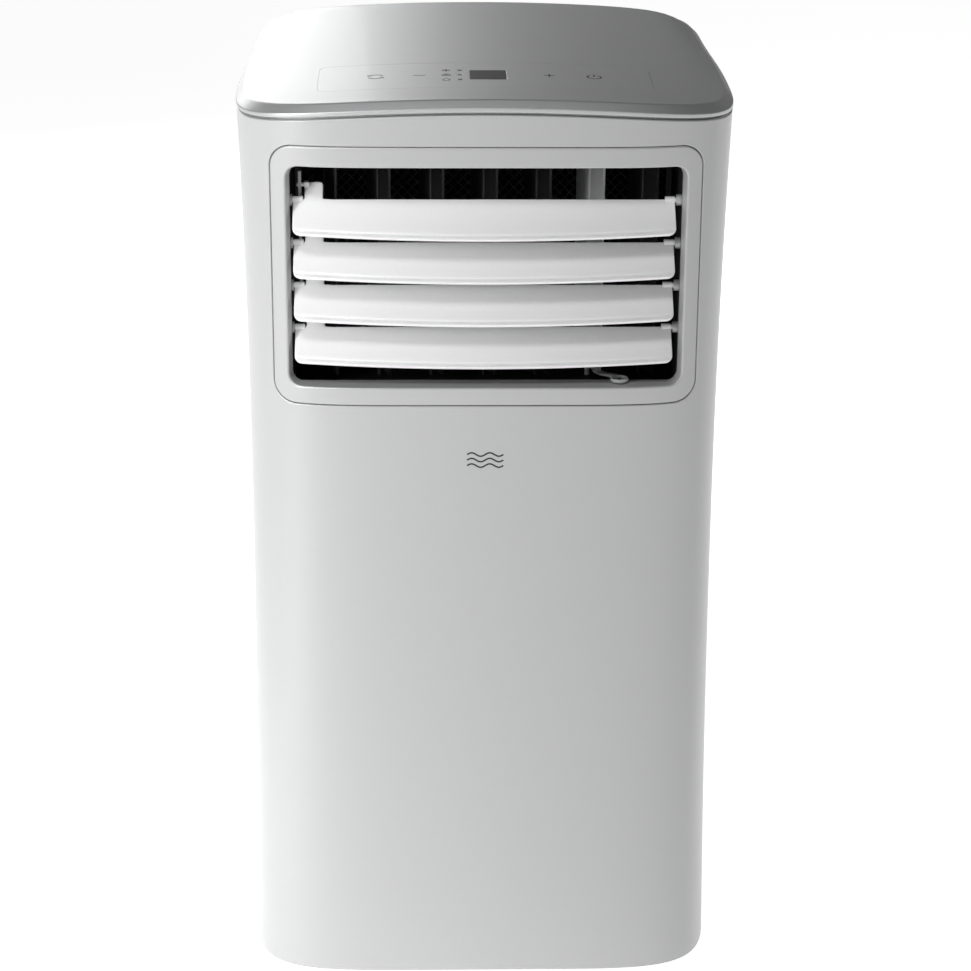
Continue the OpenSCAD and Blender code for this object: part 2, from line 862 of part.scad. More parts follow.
module blower_wheel() {
    color("black")
        translate([0, scroll_y0 + scroll_wall + 4, blower_z])
            fan_wheel(blower_d, scroll_depth - 2 * scroll_wall - 8, 30, 30);
}

// A round motor ending at its front face, with a bearing bore and a flange
module motor(d, l) {
    difference() {
        union() {
            bar_y([0, -l, 0], d, l - 3);
            bar_y([0, -3, 0], d + 12, 3);
            bar_y([0, -l - 6, 0], 26, 7);
        }
        bar_y([0, -30, 0], shaft_d + 2 * shaft_fit, 31);
    }
}

module blower_motor() {
    color("slategray")
        translate([0, scroll_y0, blower_z]) motor(88, 72);
}

module evaporator() {
    half = evap_half;
    color("silver") coil(-half, half, evap_y, evap_y + evap_t, evap_z0, evap_z1);
}

// A fin block with end plates and the return bends of its tubes
module coil(x0, x1, y0, y1, z0, z1) {
    bend_r = 8;
    tube = 7;
    step = 4 * bend_r;
    count = floor((z1 - z0 - 30) / step);
    box([x0 + 1.5, y0 + 1, z0 + 1], [x1 - 1.5, y1 - 1, z1 - 1]);
    for (x = [x0, x1 - 1.5]) box([x, y0, z0], [x + 1.5, y1, z1]);
    for (i = [0:count - 1], side = [-1, 1])
        translate([side > 0 ? x1 - 0.2 : x0 + 0.2, (y0 + y1) / 2, z0 + 30 + i * step])
            rotate([90, 0, side > 0 ? 0 : 180])
                rotate([0, 0, -90])
                    rotate_extrude(angle = 180) translate([bend_r, 0]) circle(d = tube);
}

module drain_tray() {
    out = wall + panel_gap + 0.5;
    y0 = scroll_y0 - 6;
    half = tray_half;
    color("gray")
        difference() {
            union() {
                difference() {
                    intersection() {
                        plan_prism(out, tray_z, tray_z + tray_h);
                        box([-half, y0, 0], [half, body_d, body_h]);
                    }
                    intersection() {
                        plan_prism(out + tray_t, tray_z + tray_t, tray_z + tray_h + 1);
                        box([-half + tray_t, y0 + tray_t, 0],
                            [half - tray_t, body_d, body_h]);
                    }
                    cap_seat(drain_upper);
                }
                for (x = [-1, 1])
                    box([x * evap_half * 0.7 - 12, evap_y, tray_z + 1],
                        [x * evap_half * 0.7 + 12, evap_y + evap_t, evap_z0]);
                drain_tube(drain_upper);
            }
            drain_bore(drain_upper);
            screw_holes();
        }
}

// A spigot that ends just inside the back face, and its bore
module drain_tube(at) {
    y0 = back_y0 - wall - 16;
    bar_y([at.x, y0, at.y], 2 * (drain_r + drain_wall), back_y0 - 6.5 - y0);
}

module drain_bore(at) {
    bar_y([at.x, back_y0 - wall - 17, at.y], 2 * drain_r, 30);
}

// Room behind the casing for a cap's head
module cap_seat(at) {
    bar_y([at.x, back_y0 - 6.5, at.y], 24, 20);
}

// The rubber plug in a drain spigot
module drain_cap(at) {
    color("black") {
        bar_y([at.x, back_y0 - 18, at.y], 2 * (drain_r - 0.06), 12);
        bar_y([at.x, back_y0 - 6.2, at.y], 20, 4.5);
    }
}

// ---- condenser side ----

module condenser() {
    color("silver") coil(cond_x0, cond_x1, cond_y, cond_y + cond_t, cond_z0, cond_z1);
}

// The lower scroll lies on its side: its throat runs towards +X into the exhaust duct
module lower_scroll_prism(y0, y1, t, more = 0) {
    reach = cond_x1 + 6 - cond_fan_x + more;
    translate([cond_fan_x, 0, cond_fan_z])
        rotate([0, 90, 0])
            scroll_prism(y0, y1, cond_r, reach, t);
}

module condenser_scroll() {
    color("dimgray")
        difference() {
            lower_scroll_prism(cond_fan_y0, cond_fan_y1, scroll_wall);
            lower_scroll_prism(cond_fan_y0 + scroll_wall, cond_fan_y1 - scroll_wall, 0, 1);
            bar_y([cond_fan_x, cond_fan_y1 - 10, cond_fan_z], cond_wheel_d - 20, 20);
            bar_y([cond_fan_x, cond_fan_y0 - 5, cond_fan_z], 30, 20);
        }
}

module condenser_wheel() {
    color("black")
        translate([cond_fan_x, cond_fan_y, cond_fan_z])
            fan_wheel(cond_wheel_d, cond_fan_y1 - cond_fan_y0 - 2 * scroll_wall - 8, 24, 30);
}

module condenser_motor() {
    color("slategray")
        translate([cond_fan_x, cond_fan_y0, cond_fan_z]) motor(78, 62);
}

// The box that takes the warm air from the lower scroll to the round collar
module exhaust_duct() {
    r = exhaust_d / 2;
    x0 = cond_x1 + 6;
    x1 = exhaust_x + r + collar_t;
    y1 = cond_y + 12;
    t = scroll_wall;
    z0 = exhaust_z - r - collar_t;
    z1 = exhaust_z + r + collar_t;
    color("dimgray")
        difference() {
            union() {
                box([x0, cond_fan_y0, z0], [x1, y1, z1]);
                bar_y([exhaust_x, y1 - 1, exhaust_z], exhaust_d + 2 * collar_t,
                      back_y0 - 1 - y1);
            }
            box([x0 + t, cond_fan_y0 + t, z0 + t], [x1 - t, y1 - t, z1 - t]);
            bar_y([exhaust_x, y1 - t - 1, exhaust_z], exhaust_d, 80);
            box([x0 - 1, cond_fan_y0 + scroll_wall, cond_throat_z0],
                [x0 + t + 1, cond_fan_y1 - scroll_wall, cond_throat_z1]);
        }
}

// ---- compressor side ----

module compressor() {
    r = comp_d / 2;
    color("black")
        translate([comp_x, comp_y, comp_z]) {
            translate([0, 0, 3]) cylinder(r = r, h = comp_h - 25);
            translate([0, 0, comp_h - 22]) cylinder(r1 = r, r2 = r * 0.62, h = 12);
            translate([0, 0, comp_h - 12]) cylinder(d = 10, h = 12);
            translate([19, 0, comp_h - 24]) cylinder(d = 22, h = 18);
            foot_plate();
        }
}

// A three-armed plate with a hole in each arm for its rubber foot
module foot_plate() {
    difference() {
        union() {
            cylinder(r = comp_d / 2 + 2, h = 4);
            for (a = foot_angles)
                rotate([0, 0, a]) {
                    box([0, -12, 0], [foot_r, 12, 4]);
                    translate([foot_r, 0, 0]) cylinder(r = 14, h = 4);
                }
        }
        for (a = foot_angles)
            rotate([0, 0, a]) translate([foot_r, 0, -1]) cylinder(d = 16, h = 6);
    }
}

module compressor_feet() {
    color("black")
        for (a = foot_angles)
            translate([comp_x, comp_y, base_z + base_t])
                rotate([0, 0, a])
                    translate([foot_r, 0, 0]) {
                        cylinder(d = 24, h = comp_z - base_z - base_t);
                        cylinder(d = 15.8, h = comp_z - base_z - base_t + 5);
                        translate([0, 0, comp_z - base_z - base_t + 4.2])
                            cylinder(d = 21, h = 5);
                    }
}

module accumulator() {
    color("black")
        translate([acc_x, acc_y, comp_z + 36]) {
            cylinder(d = acc_d, h = 120);
            translate([0, 0, 120]) cylinder(d1 = acc_d, d2 = 14, h = 12);
            translate([0, 0, -10]) cylinder(d1 = 14, d2 = acc_d, h = 10);
        }
}

module refrigerant_pipes() {
    side_x = tray_half + 11;
    liquid_x = side_x - 2;
    comp_top = comp_z + comp_h;
    acc_top = comp_z + 36 + 132;
    high = max(comp_top, acc_top) + 30;
    cond_mid = cond_y + cond_t / 2;
    evap_mid = evap_y + evap_t / 2;
    joint_z = evap_z0 + 46;
    color("peru") {
        pipe([[comp_x, comp_y, comp_top], [comp_x, comp_y, high],
              [-side_x, comp_y, high], [-side_x, cond_mid - 8, high],
              [-side_x, cond_mid - 8, cond_z1 - 12], [cond_x0, cond_mid - 8, cond_z1 - 12]],
             7);
        pipe([[acc_x, acc_y, acc_top], [acc_x, acc_y, high + 18],
              [side_x, acc_y, high + 18], [side_x, evap_mid, high + 18],
              [side_x, evap_mid, joint_z], [evap_half, evap_mid, joint_z]], 8);
        pipe([[cond_x0, cond_mid + 12, cond_z0 + 14], [-liquid_x, cond_mid + 12, cond_z0 + 14],
              [-liquid_x, cond_mid + 12, joint_z], [-liquid_x, evap_mid, joint_z],
              [-evap_half, evap_mid, joint_z]], 5);
        bar_z([-liquid_x, cond_mid + 12, cond_z0 + 60], 14, 60);
        pipe([[acc_x, acc_y, comp_z + 26], [acc_x, acc_y, comp_z + 14],
              [acc_x, comp_y, comp_z + 14], [comp_x - comp_d / 2, comp_y, comp_z + 14]], 6);
    }
}

// ---- controls inside ----

module control_box() {
    color("silver")
        difference() {
            box([ctrl_x0, ctrl_y0 + ctrl_t, ctrl_z0], [ctrl_x1, ctrl_y1, ctrl_z1]);
            box([ctrl_x0 + ctrl_t, ctrl_y0, ctrl_z0 + ctrl_t],
                [ctrl_x1 - ctrl_t, ctrl_y1 - ctrl_t, ctrl_z1 - ctrl_t]);
            bar_z([ctrl_x1 - 20, ctrl_y1 - 16, ctrl_z0 - 1], 14, 5);
        }
}

module control_box_cover() {
    color("silver")
        box([ctrl_x0, ctrl_y0, ctrl_z0], [ctrl_x1, ctrl_y0 + ctrl_t, ctrl_z1]);
}

module main_board() {
    y = ctrl_y1 - ctrl_t - 8;
    color("darkgreen") {
        box([ctrl_x0 + 8, y, ctrl_z0 + 10], [ctrl_x1 - 34, y + 1.6, ctrl_z1 - 10]);
        for (z = [ctrl_z0 + 16, ctrl_z1 - 16], x = [ctrl_x0 + 14, ctrl_x1 - 40])
            bar_y([x, y + 1.6, z], 6, 6.4);
        box([ctrl_x0 + 16, y - 18, ctrl_z0 + 26], [ctrl_x0 + 46, y, ctrl_z0 + 60]);
        for (i = [0:2])
            box([ctrl_x0 + 14 + i * 20, y - 14, ctrl_z1 - 46],
                [ctrl_x0 + 28 + i * 20, y, ctrl_z1 - 24]);
    }
}

module run_capacitor() {
    color("whitesmoke") {
        bar_z([ctrl_x1 - 18, ctrl_y0 + 20, ctrl_z0 + ctrl_t + 10], 28, 74);
        for (x = [-5, 5])
            box([ctrl_x1 - 18 + x - 3, ctrl_y0 + 19, ctrl_z0 + ctrl_t + 83],
                [ctrl_x1 - 18 + x + 3, ctrl_y0 + 21, ctrl_z0 + ctrl_t + 92]);
        box([ctrl_x1 - 32, ctrl_y0 + 10, ctrl_z0 + ctrl_t],
            [ctrl_x1 - 6, ctrl_y0 + 30, ctrl_z0 + ctrl_t + 10.5]);
    }
}

// ---- back ----

// A slatted panel that tilts out on two pins at its rounded lower edge
module grille(x, w, z0, z1) {
    edge = 10;
    post = 8;
    rows = floor((z1 - z0 - 2 * edge - grille_r) / slat_pitch);
    slot_w = (w - 2 * edge - post) / 2;
    low = z0 + grille_t + edge - grille_r;
    difference() {
        union() {
            box([x - w / 2, grille_y0, z0 + grille_r], [x + w / 2, grille_y1, z1]);
            bar_x([x - w / 2, grille_y0 + grille_r, z0 + grille_r], grille_t, w);
            bar_x([x - w / 2 - 3.5, grille_y0 + grille_r, z0 + grille_r], pivot_d, w + 7);
        }
        for (i = [0:rows - 1], side = [-1, 1])
            translate([x + side * (post / 2 + slot_w / 2), 0, low + i * slat_pitch])
                box([-slot_w / 2, grille_y0 - 1, 0],
                    [slot_w / 2, grille_y1 + 1, slat_gap]);
    }
}

module filter(x, w, z0, z1) {
    edge = 7;
    low = z0 + grille_t + 4;
    y1 = grille_y0;
    y0 = y1 - filter_t;
    difference() {
        box([x - w / 2 + 3, y0, low], [x + w / 2 - 3, y1, z1 - 3]);
        for (side = [0, 1])
            box([side == 0 ? x - w / 2 + 3 + edge : x + 3, y0 - 1, low + edge],
                [side == 0 ? x - 3 : x + w / 2 - 3 - edge, y1 + 1, z1 - 3 - edge]);
    }
    box([x - w / 2 + 4, y0 + 1, low + 1], [x + w / 2 - 4, y0 + 1.8, z1 - 4]);
}

module handle_block(grow) {
    for (side = [-1, 1])
        box([side > 0 ? handle_x : -body_w, handle_y - handle_l / 2 - grow,
             handle_z - handle_h / 2 - grow],
            [side > 0 ? body_w : -handle_x, handle_y + handle_l / 2 + grow,
             handle_z + handle_h / 2 + grow]);
}

// A moulded cup let into each side, open outwards
module handle_cups() {
    t = 2.5;
    color("gainsboro")
        difference() {
            intersection() {
                body_solid(0, skirt_z);
                handle_block(0);
            }
            for (side = [-1, 1])
                box([side > 0 ? handle_x + t : -body_w, handle_y - handle_l / 2 + t,
                     handle_z - handle_h / 2 + t],
                    [side > 0 ? body_w : -handle_x - t, handle_y + handle_l / 2 - t,
                     handle_z + handle_h / 2 - t]);
        }
}

module cord_gland() {
    y1 = back_at(gland_at.x);
    color("black")
        difference() {
            union() {
                bar_y([gland_at.x, y1 - 12, gland_at.y], 2 * gland_r + 5, 12);
                bar_y([gland_at.x, y1 - 13, gland_at.y], 2 * gland_r + 11, 5);
            }
            bar_y([gland_at.x, y1 - 20, gland_at.y], 2 * gland_r, 30);
        }
}

// Holes for the screws through the rear shell into the pan, the tray and the lid
module screw_holes() {
    for (s = screws) {
        bar_y([s.x, back_y0 - 30, s.y], screw_d + 0.2, 40);
        bar_y([s.x, back_at(s.x) - head_t - 0.2, s.y], head_d + 0.6, 20);
    }
}

module shell_screws() {
    color("dimgray")
        for (s = screws) {
            y = back_at(s.x) - head_t - 0.2;
            bar_y([s.x, y - 12, s.y], screw_d, 12);
            difference() {
                bar_y([s.x, y, s.y], head_d, head_t);
                box([s.x - 2.2, y + 0.6, s.y - 0.5], [s.x + 2.2, y + 3, s.y + 0.5]);
                box([s.x - 0.5, y + 0.6, s.y - 2.2], [s.x + 0.5, y + 3, s.y + 2.2]);
            }
        }
}

// ---- base ----

module base_pan() {
    out = wall + panel_gap + 0.5;
    color("darkgray")
        difference() {
            union() {
                difference() {
                    plan_prism(out, base_z, rim_z);
                    plan_prism(out + rim_t, base_z + base_t, rim_z + 1);
                    cap_seat(drain_lower);
                }
                for (p = castor_spots) bar_z([p.x, p.y, base_z + 0.5], boss_d, stem_l + 3);
                drain_tube(drain_lower);
            }
            for (p = castor_spots)
                bar_z([p.x, p.y, base_z - 1], stem_d + 2 * pin_fit, stem_l + 1.5);
            drain_bore(drain_lower);
            bar_y([gland_at.x, back_y0 - 20, gland_at.y], 2 * gland_r + 12, 20);
            screw_holes();
        }
}

module castor_fork(i) {
    half = castor_w / 2 + cheek_gap;
    color("black")
        translate([castor_spots[i - 1].x, castor_spots[i - 1].y, 0]) {
            bar_z([0, 0, fork_top - 3], 30, 3.5);
            bar_z([0, 0, fork_top], stem_d, stem_l + 1);
            for (side = [-1, 1])
                translate([side > 0 ? half : -half - cheek_t, 0, 0]) {
                    bar_x([0, castor_trail, castor_r], 14, cheek_t);
                    box([0, castor_trail - 7, castor_r], [cheek_t, castor_trail + 2, fork_top]);
                }
            box([-half - cheek_t, castor_trail - 7, fork_top - 3],
                [half + cheek_t, castor_trail + 2, fork_top]);
            bar_x([-half - cheek_t, castor_trail, castor_r], axle_d, 2 * (half + cheek_t));
        }
}

module castor_wheel(i) {
    color("dimgray")
        translate([castor_spots[i - 1].x, castor_spots[i - 1].y + castor_trail, castor_r])
            difference() {
                bar_x([-castor_w / 2, 0, 0], castor_d, castor_w);
                bar_x([-castor_w, 0, 0], axle_d + 2 * pin_fit, 2 * castor_w);
                for (side = [-1, 1])
                    translate([side > 0 ? castor_w / 2 - 2 : -castor_w / 2 - 1, 0, 0])
                        difference() {
                            bar_x([0, 0, 0], castor_d - 8, 3);
                            bar_x([-1, 0, 0], axle_d + 6, 5);
                        }
            }
}

module upper_grille() {
    color("gainsboro") grille(0, grille_w, upper_grille_z0, upper_grille_z1);
}

module lower_grille() {
    color("gainsboro")
        grille(lower_grille_x, lower_grille_w, lower_grille_z0, lower_grille_z1);
}

module upper_filter() {
    color("darkgray") filter(0, grille_w, upper_grille_z0, upper_grille_z1);
}

module lower_filter() {
    color("darkgray")
        filter(lower_grille_x, lower_grille_w, lower_grille_z0, lower_grille_z1);
}

base_pan();
front_shell();
rear_shell();
top_cover();
control_panel();
display_window();
indicator_leds();
display_board();
louver_frame();
louver(1);  // louver_1
louver(2);  // louver_2
louver(3);  // louver_3
louver(4);  // louver_4
louver_link();
air_duct();
outlet_guard();
vane(1);  // vane_1
vane(2);  // vane_2
vane(3);  // vane_3
vane(4);  // vane_4
vane(5);  // vane_5
vane(6);  // vane_6
vane(7);  // vane_7
vane_link();
blower_scroll();
blower_wheel();
blower_motor();
evaporator();
drain_tray();
condenser();
condenser_scroll();
condenser_wheel();
condenser_motor();
exhaust_duct();
compressor();
accumulator();
compressor_feet();
refrigerant_pipes();
control_box();
control_box_cover();
main_board();
run_capacitor();
upper_grille();
upper_filter();
lower_grille();
lower_filter();
castor_fork(1);  // castor_fork_1
castor_fork(2);  // castor_fork_2
castor_fork(3);  // castor_fork_3
castor_fork(4);  // castor_fork_4
castor_wheel(1);  // castor_wheel_1
castor_wheel(2);  // castor_wheel_2
castor_wheel(3);  // castor_wheel_3
castor_wheel(4);  // castor_wheel_4
drain_cap(drain_upper);  // upper_drain_cap
drain_cap(drain_lower);  // lower_drain_cap
handle_cups();
cord_gland();
shell_screws();
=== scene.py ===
import math

import bpy
import numpy as np
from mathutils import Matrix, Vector
from mathutils.geometry import delaunay_2d_cdt


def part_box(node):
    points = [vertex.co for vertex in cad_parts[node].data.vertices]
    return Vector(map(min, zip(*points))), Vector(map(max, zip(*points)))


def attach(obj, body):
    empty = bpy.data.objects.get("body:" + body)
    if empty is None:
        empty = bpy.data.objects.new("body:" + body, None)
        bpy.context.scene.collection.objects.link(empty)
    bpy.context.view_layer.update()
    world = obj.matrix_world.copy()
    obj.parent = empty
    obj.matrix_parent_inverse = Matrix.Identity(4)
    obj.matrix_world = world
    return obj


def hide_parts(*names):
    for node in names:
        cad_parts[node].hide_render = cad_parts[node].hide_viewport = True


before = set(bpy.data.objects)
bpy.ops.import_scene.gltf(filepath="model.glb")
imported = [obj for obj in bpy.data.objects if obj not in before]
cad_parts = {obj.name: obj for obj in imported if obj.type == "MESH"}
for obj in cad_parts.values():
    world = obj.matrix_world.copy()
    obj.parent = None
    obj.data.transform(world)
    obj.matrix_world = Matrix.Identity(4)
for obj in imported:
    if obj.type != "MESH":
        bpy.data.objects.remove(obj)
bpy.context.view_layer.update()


# --------------------
# Camera, floor and light. The unit stands on a seamless pale floor and is lit
# by a tall soft lamp on its left, soft lamps behind and above, and a weak one right.
# --------------------

MM = 0.001
CAMERA_PLACE = (-0.0443, -1.9785, 1.0811)
CAMERA_PITCH = math.radians(20.335)
CAMERA_TURN = math.radians(-1.415)
CAMERA_ROLL = math.radians(0.373)
LENS = 99.49



def put(name, data):
    """A new object in the scene holding this data."""
    shown = bpy.data.objects.new(name, data)
    bpy.context.scene.collection.objects.link(shown)
    return shown


camera_data = bpy.data.cameras.new("camera")
camera_data.lens = LENS
camera_data.sensor_width = 36.0
camera_data.clip_end = 50.0
camera = put("camera", camera_data)
camera.location = CAMERA_PLACE
camera.rotation_mode = "XYZ"
camera.rotation_euler = (math.pi / 2 - CAMERA_PITCH, 0.0, CAMERA_TURN)
camera.rotation_euler.rotate_axis("Z", CAMERA_ROLL)
bpy.context.scene.camera = camera


class Wire:
    """A shader socket that can stand in a sum; each sign adds its Math node."""

    def __init__(self, finish, socket):
        self.finish = finish
        self.socket = socket

    def maths(self, operation, first, second):
        node = self.finish.node("ShaderNodeMath", {"operation": operation},
                                {0: first, 1: second})
        return Wire(self.finish, node.outputs[0])

    def __add__(self, other):
        return self.maths("ADD", self, other)

    def __radd__(self, other):
        return self.maths("ADD", other, self)

    def __sub__(self, other):
        return self.maths("SUBTRACT", self, other)

    def __rsub__(self, other):
        return self.maths("SUBTRACT", other, self)

    def __mul__(self, other):
        return self.maths("MULTIPLY", self, other)

    def __rmul__(self, other):
        return self.maths("MULTIPLY", other, self)

    def __gt__(self, other):
        return self.maths("GREATER_THAN", self, other)


class Finish:
    """A material under construction, with its Principled shader and Object coordinates."""

    def __init__(self, name, color, roughness, **constants):
        self.material = bpy.data.materials.new(name)
        self.material.use_nodes = True
        self.tree = self.material.node_tree
        self.shader = self.tree.nodes["Principled BSDF"]
        self.material.diffuse_color = (*color, 1.0)
        self.shader.inputs["Base Color"].default_value = (*color, 1.0)
        self.shader.inputs["Roughness"].default_value = roughness
        for key, value in constants.items():
            self.shader.inputs[key.replace("_", " ").title()].default_value = value
        self.color = color

    def node(self, kind, settings=None, sockets=None):
        node = self.tree.nodes.new(kind)
        for key, value in (settings or {}).items():
            setattr(node, key, value)
        for key, value in (sockets or {}).items():
            if isinstance(value, Wire):
                self.tree.links.new(value.socket, node.inputs[key])
            else:
                node.inputs[key].default_value = value
        return node

    def place(self, stretch=(1.0, 1.0, 1.0)):
        coords = self.node("ShaderNodeTexCoord")
        mapping = self.node("ShaderNodeMapping", {},
                            {"Vector": Wire(self, coords.outputs["Object"]),
                             "Scale": stretch})
        return Wire(self, mapping.outputs["Vector"])

    def noise(self, scale, detail=2.0, stretch=(1.0, 1.0, 1.0)):
        node = self.node("ShaderNodeTexNoise", {},
                         {"Vector": self.place(stretch), "Scale": scale, "Detail": detail})
        return Wire(self, node.outputs["Fac"])

    def bands(self, scale, direction):
        node = self.node("ShaderNodeTexWave", {"bands_direction": direction},
                         {"Vector": self.place(), "Scale": scale})
        return Wire(self, node.outputs["Fac"])

    def tint(self, mask, other):
        """Base colour: this finish's own colour, going to another where mask is 1."""
        mix = self.node("ShaderNodeMix", {"data_type": "RGBA"},
                        {"Factor": mask, "A": (*self.color, 1.0), "B": (*other, 1.0)})
        self.feed("Base Color", Wire(self, mix.outputs["Result"]))

    def feed(self, key, wire):
        self.tree.links.new(wire.socket, self.shader.inputs[key])

    def bump(self, height, depth):
        node = self.node("ShaderNodeBump", {}, {"Height": height, "Distance": depth})
        self.feed("Normal", Wire(self, node.outputs["Normal"]))


def paint(node_names, finish):
    """Gives a CAD node kept as it is its finish."""
    for name in node_names:
        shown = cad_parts[name]
        shown.data.materials.clear()
        shown.data.materials.append(finish.material)


def lamp(name, place, aim, size, power, spread=180.0):
    data = bpy.data.lights.new(name, "AREA")
    data.shape = "RECTANGLE"
    data.size, data.size_y = size
    data.energy = power
    data.spread = math.radians(spread)
    holder = put(name, data)
    holder.location = place
    holder.rotation_euler = (Vector(aim) - Vector(place)).to_track_quat("-Z", "Y").to_euler()


lamp("key_lamp", (-1.05, -1.25, 0.85), (-0.44, -0.1, 0.46), (0.35, 1.5), 4.5, 44.0)
lamp("lid_lamp", (-0.85, 2.3, 1.4), (0.0, 0.0, 0.68), (1.4, 1.1), 20.0)
lamp("back_lamp", (0.4, 2.5, 1.6), (0.0, 0.0, 0.68), (3.4, 1.3), 2.5)
lamp("louvre_lamp", (-0.6, -1.5, 2.5), (-0.1, -0.12, 0.56), (0.8, 0.6), 2.3, 60.0)
lamp("right_lamp", (1.6, 0.5, 0.8), (0.1, 0.0, 0.35), (0.4, 1.6), 0.6)

room = bpy.data.worlds.new("room")
room.use_nodes = True
room.node_tree.nodes["Background"].inputs["Color"].default_value = (0.94, 0.95, 0.96, 1.0)
room.node_tree.nodes["Background"].inputs["Strength"].default_value = 0.05
bpy.context.scene.world = room
bpy.context.scene.view_settings.view_transform = "Standard"

floor_finish = Finish("floor_paper", (0.92, 0.92, 0.92), 0.9,
                      emission_color=(1.0, 1.0, 1.0, 1.0), emission_strength=0.92)
floor_finish.tint(floor_finish.noise(3.0) * 0.25, (0.88, 0.88, 0.88))
floor_mesh = bpy.data.meshes.new("floor")
FLOOR_HALF = 16.0
floor_mesh.from_pydata([(x * FLOOR_HALF, y * FLOOR_HALF, 0.0) for x, y in
                        ((-1, -1), (1, -1), (1, 1), (-1, 1))], [], [(0, 1, 2, 3)])
floor_mesh.materials.append(floor_finish.material)
put("floor", floor_mesh)


# --------------------
# Base pan with its four swivel castors: a dark polypropylene tray, nylon forks
# pressed in by their stems, and grey nylon wheels on moulded axles.
# --------------------

pan_finish = Finish("pan_plastic", (0.16, 0.165, 0.17), 0.55)
pan_finish.feed("Roughness", pan_finish.noise(260.0) * 0.2 + 0.45)
pan_finish.bump(pan_finish.noise(2200.0), 0.0001)
fork_finish = Finish("fork_nylon", (0.02, 0.02, 0.022), 0.42)
fork_finish.bump(fork_finish.noise(1500.0), 0.0001)
wheel_finish = Finish("wheel_nylon", (0.10, 0.10, 0.105), 0.5)
wheel_finish.tint(wheel_finish.noise(60.0, 4.0), (0.16, 0.16, 0.16))
wheel_finish.bump(wheel_finish.noise(900.0), 0.00015)
paint(["base_pan"], pan_finish)
paint([f"castor_fork_{i}" for i in range(1, 5)], fork_finish)
paint([f"castor_wheel_{i}" for i in range(1, 5)], wheel_finish)


# --------------------
# Lower compartment: enamelled steel compressor and accumulator on rubber feet,
# the finned condenser with its fan, and the duct that carries the warm air out.
# --------------------

enamel = Finish("black_enamel", (0.018, 0.018, 0.02), 0.32, coat_weight=0.4)
enamel.bump(enamel.noise(420.0, 4.0), 0.0002)
rubber = Finish("moulded_rubber", (0.022, 0.022, 0.022), 0.75)
rubber.bump(rubber.noise(1300.0, 3.0), 0.0002)
fins = Finish("aluminium_fins", (0.72, 0.74, 0.76), 0.34, metallic=1.0)
fins.bump(fins.bands(260.0, "X"), 0.0006)
fins.feed("Roughness", fins.noise(80.0) * 0.2 + 0.26)
duct_finish = Finish("duct_plastic", (0.020, 0.020, 0.022), 0.6)
duct_finish.bump(duct_finish.noise(1600.0), 0.0001)
fan_finish = Finish("fan_plastic", (0.03, 0.03, 0.032), 0.4)
fan_finish.feed("Roughness", fan_finish.noise(150.0) * 0.2 + 0.32)
steel = Finish("zinc_plated_steel", (0.60, 0.61, 0.62), 0.36, metallic=1.0)
steel.tint(steel.noise(35.0, 5.0), (0.50, 0.51, 0.53))
steel.feed("Roughness", steel.noise(110.0, 3.0) * 0.25 + 0.26)
copper = Finish("copper_tube", (0.72, 0.36, 0.22), 0.3, metallic=1.0)
copper.tint(copper.noise(45.0, 4.0), (0.50, 0.25, 0.16))
paint(["compressor", "accumulator"], enamel)
paint(["compressor_feet"], rubber)
paint(["condenser", "evaporator"], fins)
paint(["condenser_scroll", "blower_scroll", "drain_tray", "exhaust_duct"], duct_finish)
paint(["condenser_wheel", "blower_wheel"], fan_finish)
paint(["condenser_motor", "blower_motor", "control_box", "control_box_cover"], steel)
paint(["refrigerant_pipes"], copper)


# --------------------
# Electrics: green circuit boards with their parts soldered on, and the motor's
# run capacitor in an aluminium can, screwed into the sheet-steel control box.
# --------------------

board_finish = Finish("circuit_board", (0.02, 0.11, 0.05), 0.4)
board_finish.tint(board_finish.noise(420.0, 1.0) > 0.58, (0.05, 0.20, 0.09))
can_finish = Finish("capacitor_can", (0.70, 0.71, 0.72), 0.3, metallic=1.0)
can_finish.feed("Roughness", can_finish.noise(200.0, 2.0, (1.0, 1.0, 8.0)) * 0.2 + 0.22)
paint(["main_board", "display_board"], board_finish)
paint(["run_capacitor"], can_finish)


# --------------------
# Casing: a front and a rear shell of satin silver-white ABS, injection moulded
# with rolled edges, that butt together behind the middle and screw to the pan.
# --------------------

WIDTH, DEPTH, HEIGHT = 355.0, 345.0, 703.0
WAIST_INSET, WAIST_Z, BACK_INSET = 5.0, 390.0, 4.5
WALL = 3.0
CROWN, LID_RISE, EDGE_RISE, LID_EDGE = 8.8, 12.0, 4.0, 10.0
SKIRT_Z, SPLIT_Y, PANEL_GAP = 14.0, 40.0, 0.5
SHOULDER_H = 20.0                          # below the top, where the waist has run out
TAPER_Y, TAPER_RUN = -40.0, 150.0          # where the sides start to draw in, and for how long
FRAME_W, FRAME_Z0, FRAME_Z1, FRAME_R = 301.0, 472.0, 658.5, 16.0

FRONT_POWER, BACK_POWER = 6.0, 10.0


def quarter_turn(power):
    """Shares of the half width and half depth along a quarter, by the walk round it."""
    run = np.linspace(0.0, 2.0 ** (-1.0 / power), 2000)
    across = np.concatenate([run, (1.0 - run[-2::-1] ** power) ** (1.0 / power)])
    along = np.concatenate([(1.0 - run ** power) ** (1.0 / power), run[-2::-1]])
    steps = np.hypot(WIDTH / 2 * np.diff(across), DEPTH / 2 * np.diff(along))
    return across, along, np.concatenate([[0.0], np.cumsum(steps)])


front_across, front_along, front_steps = quarter_turn(FRONT_POWER)
back_across, back_along, back_steps = quarter_turn(BACK_POWER)
FRONT_RUN, BACK_RUN = front_steps[-1], back_steps[-1]
HALF_TURN = FRONT_RUN + BACK_RUN


